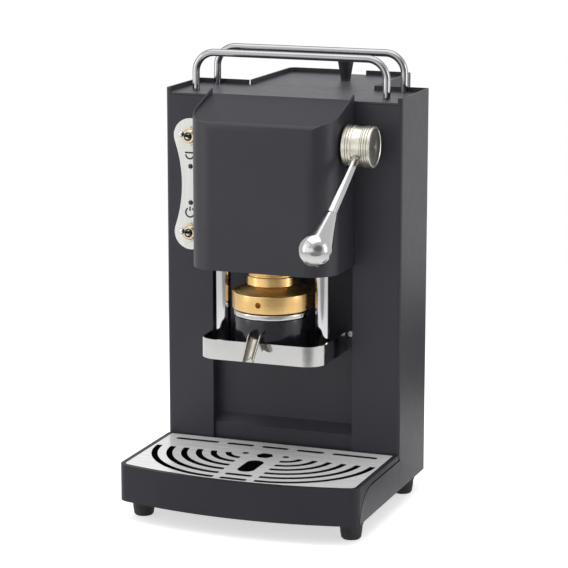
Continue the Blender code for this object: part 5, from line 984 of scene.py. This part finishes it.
def make_controls():
    switch_hole, lamp_hole, lamp_radius, lamp_foot = 0.0058, 0.002, 0.0017, -0.004
    holes = [circle((PLATE_X, z), switch_hole) for _, z in SWITCH_Z]
    holes += [circle((PLATE_X, z), lamp_hole, 24) for _, z in LAMP_Z]
    plate = prism("switch_plate_brushed", [plate_outline()] + holes, "Y", PLATE_FACE, -GAP)
    ease_edges(plate, FINE_EDGE)
    place(plate, BODY, PLATE, ["switch_plate"])
    make_symbols()
    for word, z in SWITCH_Z:
        make_switch(word, z)
    for word, z in LAMP_Z:
        lamp = turned(f"lamp_dome_{word}", [
            (0, 0.0012), (0.0015, 0.001, 0.0006), (lamp_radius, -0.0002, 0.0004),
            (lamp_radius, lamp_foot, 0.0003), (0, lamp_foot)], arc_steps=6, steps=32)
        place(lamp, BODY, LENS, [f"lamp_{word}"],
              (PLATE_X, PLATE_FACE, z), TO_FRONT)


def make_switch(word, z):
    """A threaded bushing with its nut, and the bat with a ball at its end."""
    bore, crest, root, reach, foot = 0.0036, 0.0055, 0.0051, 0.0065, -0.0018
    first_crest, last_crest, pitch, turns = 0.0058, 0.0033, 0.0006, 4
    thread = [(bore, reach), (0.005, reach)]
    for i in range(turns):
        crest_z = first_crest - i * pitch
        thread += [(crest, crest_z), (root, crest_z - pitch / 2)]
    thread += [(crest, last_crest), (crest, foot), (0, foot), (0, 0), (bore, 0), (bore, reach)]
    bushing = turned(f"switch_thread_{word}", thread, steps=SMALL_STEPS)
    place(bushing, BODY, NUTS, [f"switch_bushing_{word}"],
          (PLATE_X, 0, z), TO_FRONT)
    nut_radius, nut_bore, nut_low, nut_high = 0.0077, 0.0056, 0.0016, 0.0038
    nut = prism(f"switch_nut_{word}", [circle((0, 0), nut_radius, 6, 30),
                                       circle((0, 0), nut_bore)], "Z", nut_low, nut_high)
    ease_edges(nut, ROUND_EDGE)
    place(nut, BODY, NUTS, (), (PLATE_X, 0, z), TO_FRONT)
    ball_place, ball_radius, stem, pivot_y = 0.0155, 0.0025, 0.0012, -0.005
    ball = [(r, ball_place + rise) for r, rise in arc((0, 0), ball_radius, 90, -58, 20)]
    bat = turned(f"toggle_bat_{word}", ball + [
        (stem, 0.0131), (stem, 0.0036, 0.0012), (0.0025, 0.002, 0.0004), (0.0031, 0, 0.002),
        (0.0025, -0.0019, 0.0006), (0, -0.003)], arc_steps=6, steps=SMALL_STEPS)
    place(bat, f"{word}_toggle", CHROME, [f"toggle_{word}"],
          (PLATE_X, pivot_y, z), (math.pi / 2 - TOGGLE_LEAN, 0, 0))


# Feet, screws, lid knob and gland

FOOT_X = 0.0877
FOOT_Y = (("front", -0.0803), ("rear", 0.0502))
SCREW_X = 0.0554
SCREW_Z = 0.1402


def make_feet():
    """Rubber feet that narrow downwards, each hollow below."""
    top, hollow_radius, hollow_depth = 0.0157, 0.004, 0.001
    for row, y in FOOT_Y:
        for word, side in SIDES:
            foot = turned(f"foot_{row}_{word}_rubber", [
                (0, top), (0.00975, top, 0.0005), (0.0096, 0.012, 0.0003),
                (0.009, 0.0114, 0.0003), (0.0086, 0.006, 0.001), (0.0078, 0.0012, 0.0008),
                (0.0066, 0, 0.0004), (hollow_radius, 0, 0.0002),
                (hollow_radius, hollow_depth, 0.0002), (0, hollow_depth)],
                arc_steps=4, steps=SMALL_STEPS)
            place(foot, BODY, RUBBER, [f"foot_{row}_{word}"],
                  (side * FOOT_X, y, 0))


def make_recess_screws():
    """Pan-head screws, each with a six-sided socket."""
    head, crown, shank, shank_end = 0.003, 0.0018, 0.0016, -0.006
    socket_radius, socket_floor = 0.0011, 0.0008
    for word, side in SIDES:
        screw = turned(f"recess_screw_{word}_pan", [
            (0, crown), (0.0022, crown, 0.0008), (head, 0.0008, 0.0005), (head, 0), (shank, 0),
            (shank, shank_end, 0.0004), (0, shank_end)], arc_steps=5, steps=SMALL_STEPS)
        cut(screw, prism("socket", [circle((0, 0), socket_radius, 6)], "Z", socket_floor, 0.003))
        smooth(screw.data, 30)
        place(screw, BODY, ZINC, [f"recess_screw_{word}"],
              (side * SCREW_X, RECESS_FACE, SCREW_Z), TO_FRONT)


def make_lid_knob():
    """A knob that widens upwards, with a shallow dish in its top."""
    dish_floor, top, rim, foot = 0.0214, 0.022, 0.0068, 0.0042
    knob = turned("lid_knob_moulded", [
        (0, dish_floor), (0.005, dish_floor, 0.0002), (0.0054, top, 0.0002), (rim, top, 0.001),
        (rim, 0.0165, 0.0008), (foot, 0.0012, 0.0006), (foot, 0), (0, 0)], arc_steps=6)
    place(knob, "lid", PLASTIC, ["lid_knob"], (0.01, 0.125, DECK_TOP + GAP))


def make_gland():
    """The bush that the mains lead would pass through, with its flange outside the housing."""
    bore, mouth, neck, flange, face, end = 0.0037, 0.002, 0.0068, 0.009, 0.0025, -0.01
    gland = turned("cord_gland_ribbed", [
        (bore, mouth), (0.0042, face, 0.0003), (0.0084, face, 0.0008), (flange, 0.0012, 0.0006),
        (flange, 0), (neck, 0), (neck, end, 0.0004), (bore, end, 0.0003), (bore, mouth)],
        arc_steps=4, steps=SMALL_STEPS)
    place(gland, BODY, PLASTIC, ["cord_gland"],
          (-0.078, 0.0713, 0.042), (-math.pi / 2, 0, 0))


# Room, lights and camera

FLOOR_RADIUS = 1.6
FLOOR_CLEAR = 0.25
FLOOR_WHITE = 0.75
FLOOR_LIFT = 0.58
WORLD_LIGHT = 0.6

# What the lights and cards face
AIM = Vector((0, 0, 0.18))

# Name, place, width and height, power, and whether only gloss shows it
LIGHTS = (
    ("key_left", (-1.3, -1.0, 0.8), (1.6, 1.8), 6, False),
    ("fill_right", (1.75, 0.15, 0.6), (1.4, 1.6), 3, False),
    ("top", (-0.1, -0.1, 1.7), (1.8, 1.8), 16, False),
    ("front_low", (-0.5, -2.0, 0.45), (1.6, 0.9), 3, False),
    ("strip_right", (1.7, 0.05, 0.45), (0.35, 1.3), 7, True),
    ("strip_left", (-1.45, -0.95, 0.45), (0.35, 1.3), 5, True),
)

# Name, place, width and height, and tone
FLAGS = (
    ("flag_low", (0.22, -0.48, 0.1), (0.9, 0.34), 0.48),
    ("flag_front", (0.8, -1.0, 0.6), (2.0, 1.6), 0.28),
    ("flag_back", (-0.4, 1.0, 1.25), (1.8, 0.9), 0.1),
    ("flag_tray", (0.155, 0.02, 0.012), (0.16, 0.2), 0.12),
    ("flag_side", (0.22, 0.3, 0.045), (0.4, 0.18), 0.2),
)

# The camera, fitted to the photograph's edges
PHOTO_PIXELS = 568
FOCAL_PIXELS = 2351.72
SENSOR_WIDTH = 36
CAMERA_TURN_DEG = (20.5177, 11.8884, 0.0612)
CAMERA_PLACE = Vector((0.65047, -1.73336, 0.56867))


def seen_directly(tree):
    """One for a ray from the camera, metal or glass, and zero for light that falls on things."""
    path = tree.nodes.new("ShaderNodeLightPath")
    source = path.outputs["Is Camera Ray"]
    for name in ("Is Glossy Ray", "Is Transmission Ray"):
        either = tree.nodes.new("ShaderNodeMath")
        either.operation = "MAXIMUM"
        tree.links.new(source, either.inputs[0])
        tree.links.new(path.outputs[name], either.inputs[1])
        source = either.outputs[0]
    return source


def mixed(tree, share, first, second):
    """The first surface where the share is zero, and the second where it is one."""
    mix = tree.nodes.new("ShaderNodeMixShader")
    for socket, source in zip(mix.inputs, (share, first, second)):
        tree.links.new(source, socket)
    return mix.outputs[0]


def make_stage():
    """A pale round floor. It keeps the shadow near the machine and turns white further out."""
    work = bmesh.new()
    bmesh.ops.create_circle(work, cap_ends=True, segments=TURN_STEPS, radius=FLOOR_RADIUS)
    floor = finish_mesh("studio_floor", work)
    floor.location = (0, 0, -HAIR)
    look = Look("studio_floor", (0.86, 0.86, 0.86), 0.65)
    look.vary_roughness(look.noise(3, 2), 0.05)
    look.shader.inputs["Specular IOR Level"].default_value = 0.2
    seen = seen_directly(look.tree)
    lift = look.add("ShaderNodeEmission")
    look.link(look.ranged(seen, 0, FLOOR_LIFT, 0, 1), lift.inputs["Strength"])
    both = look.add("ShaderNodeAddShader")
    look.link(look.shader.outputs[0], both.inputs[0])
    look.link(lift.outputs[0], both.inputs[1])
    white = look.add("ShaderNodeEmission")
    far = look.add("ShaderNodeMath", operation="MULTIPLY")
    look.link(seen, far.inputs[0])
    look.link(look.ranged(look.length(look.spot), 0, 1, FLOOR_CLEAR, FLOOR_WHITE), far.inputs[1])
    look.show(mixed(look.tree, far.outputs[0], both.outputs[0], white.outputs[0]))
    floor.data.materials.append(look.material)


def make_world():
    world = bpy.data.worlds.new("studio")
    bpy.context.scene.world = world
    world.use_nodes = True
    tree = world.node_tree
    tree.nodes.clear()
    light = tree.nodes.new("ShaderNodeBackground")
    light.inputs["Strength"].default_value = WORLD_LIGHT
    white = tree.nodes.new("ShaderNodeBackground")
    for shade in (light, white):
        shade.inputs["Color"].default_value = (1, 1, 1, 1)
    out = tree.nodes.new("ShaderNodeOutputWorld")
    tree.links.new(mixed(tree, seen_directly(tree), light.outputs[0], white.outputs[0]),
                   out.inputs["Surface"])


def stand(made, place_at):
    """Puts a light or card at the place, facing the machine."""
    made.location = place_at
    made.rotation_euler = (AIM - Vector(place_at)).to_track_quat("-Z", "Y").to_euler()


def make_light(name, place_at, size, power, only_gloss):
    light = bpy.data.lights.new(name, "AREA")
    light.shape = "RECTANGLE"
    light.size, light.size_y = size
    light.energy = power
    made = adopt(name, light)
    stand(made, place_at)
    made.visible_diffuse = not only_gloss


def make_flag(name, place_at, size, tone):
    """A grey card with soft edges that only reflections see, for contrast in the chrome."""
    work = bmesh.new()
    bmesh.ops.create_grid(work, x_segments=1, y_segments=1, size=0.5)
    flag = finish_mesh(name, work)
    flag.scale = (*size, 1)
    stand(flag, place_at)
    fade_start, fade_end = 0.22, 0.5
    look = Look(name, (tone, tone, tone), 0.9)
    clear = look.add("ShaderNodeBsdfTransparent")
    fade = look.ranged(look.length(look.spot), 0, 1, fade_start, fade_end)
    look.show(mixed(look.tree, fade, look.shader.outputs[0], clear.outputs[0]))
    flag.data.materials.append(look.material)
    flag.visible_camera = False
    flag.visible_diffuse = False
    flag.visible_shadow = False
    flag.visible_transmission = False


def make_lights():
    for light in LIGHTS:
        make_light(*light)
    for flag in FLAGS:
        make_flag(*flag)


def make_camera():
    azimuth, elevation, roll = (math.radians(v) for v in CAMERA_TURN_DEG)
    back = Vector((math.sin(azimuth) * math.cos(elevation),
                   -math.cos(azimuth) * math.cos(elevation), math.sin(elevation)))
    right = Vector((math.cos(azimuth), math.sin(azimuth), 0))
    up = back.cross(right)
    rolled_right = right * math.cos(roll) + up * math.sin(roll)
    rolled_up = up * math.cos(roll) - right * math.sin(roll)
    data = bpy.data.cameras.new("photo_camera")
    camera = adopt("photo_camera", data)
    data.sensor_width = SENSOR_WIDTH
    data.lens = SENSOR_WIDTH * FOCAL_PIXELS / PHOTO_PIXELS
    data.clip_start, data.clip_end = 0.1, 30
    turn = Matrix((rolled_right, rolled_up, back)).transposed().to_4x4()
    camera.matrix_world = Matrix.Translation(CAMERA_PLACE + SHIFT) @ turn
    bpy.context.scene.camera = camera
    bpy.context.scene.view_settings.view_transform = "Standard"


make_camera()
finish_cad_nodes()
make_lever()
make_rails()
make_columns()
make_head()
make_seal()
make_shower_screen()
make_group_hose()
make_pod_holder()
make_bracket()
make_spout()
make_hood()
make_tray()
make_grille()
make_controls()
make_feet()
make_recess_screws()
make_lid_knob()
make_gland()
make_stage()
make_world()
make_lights()
bpy.context.view_layer.update()
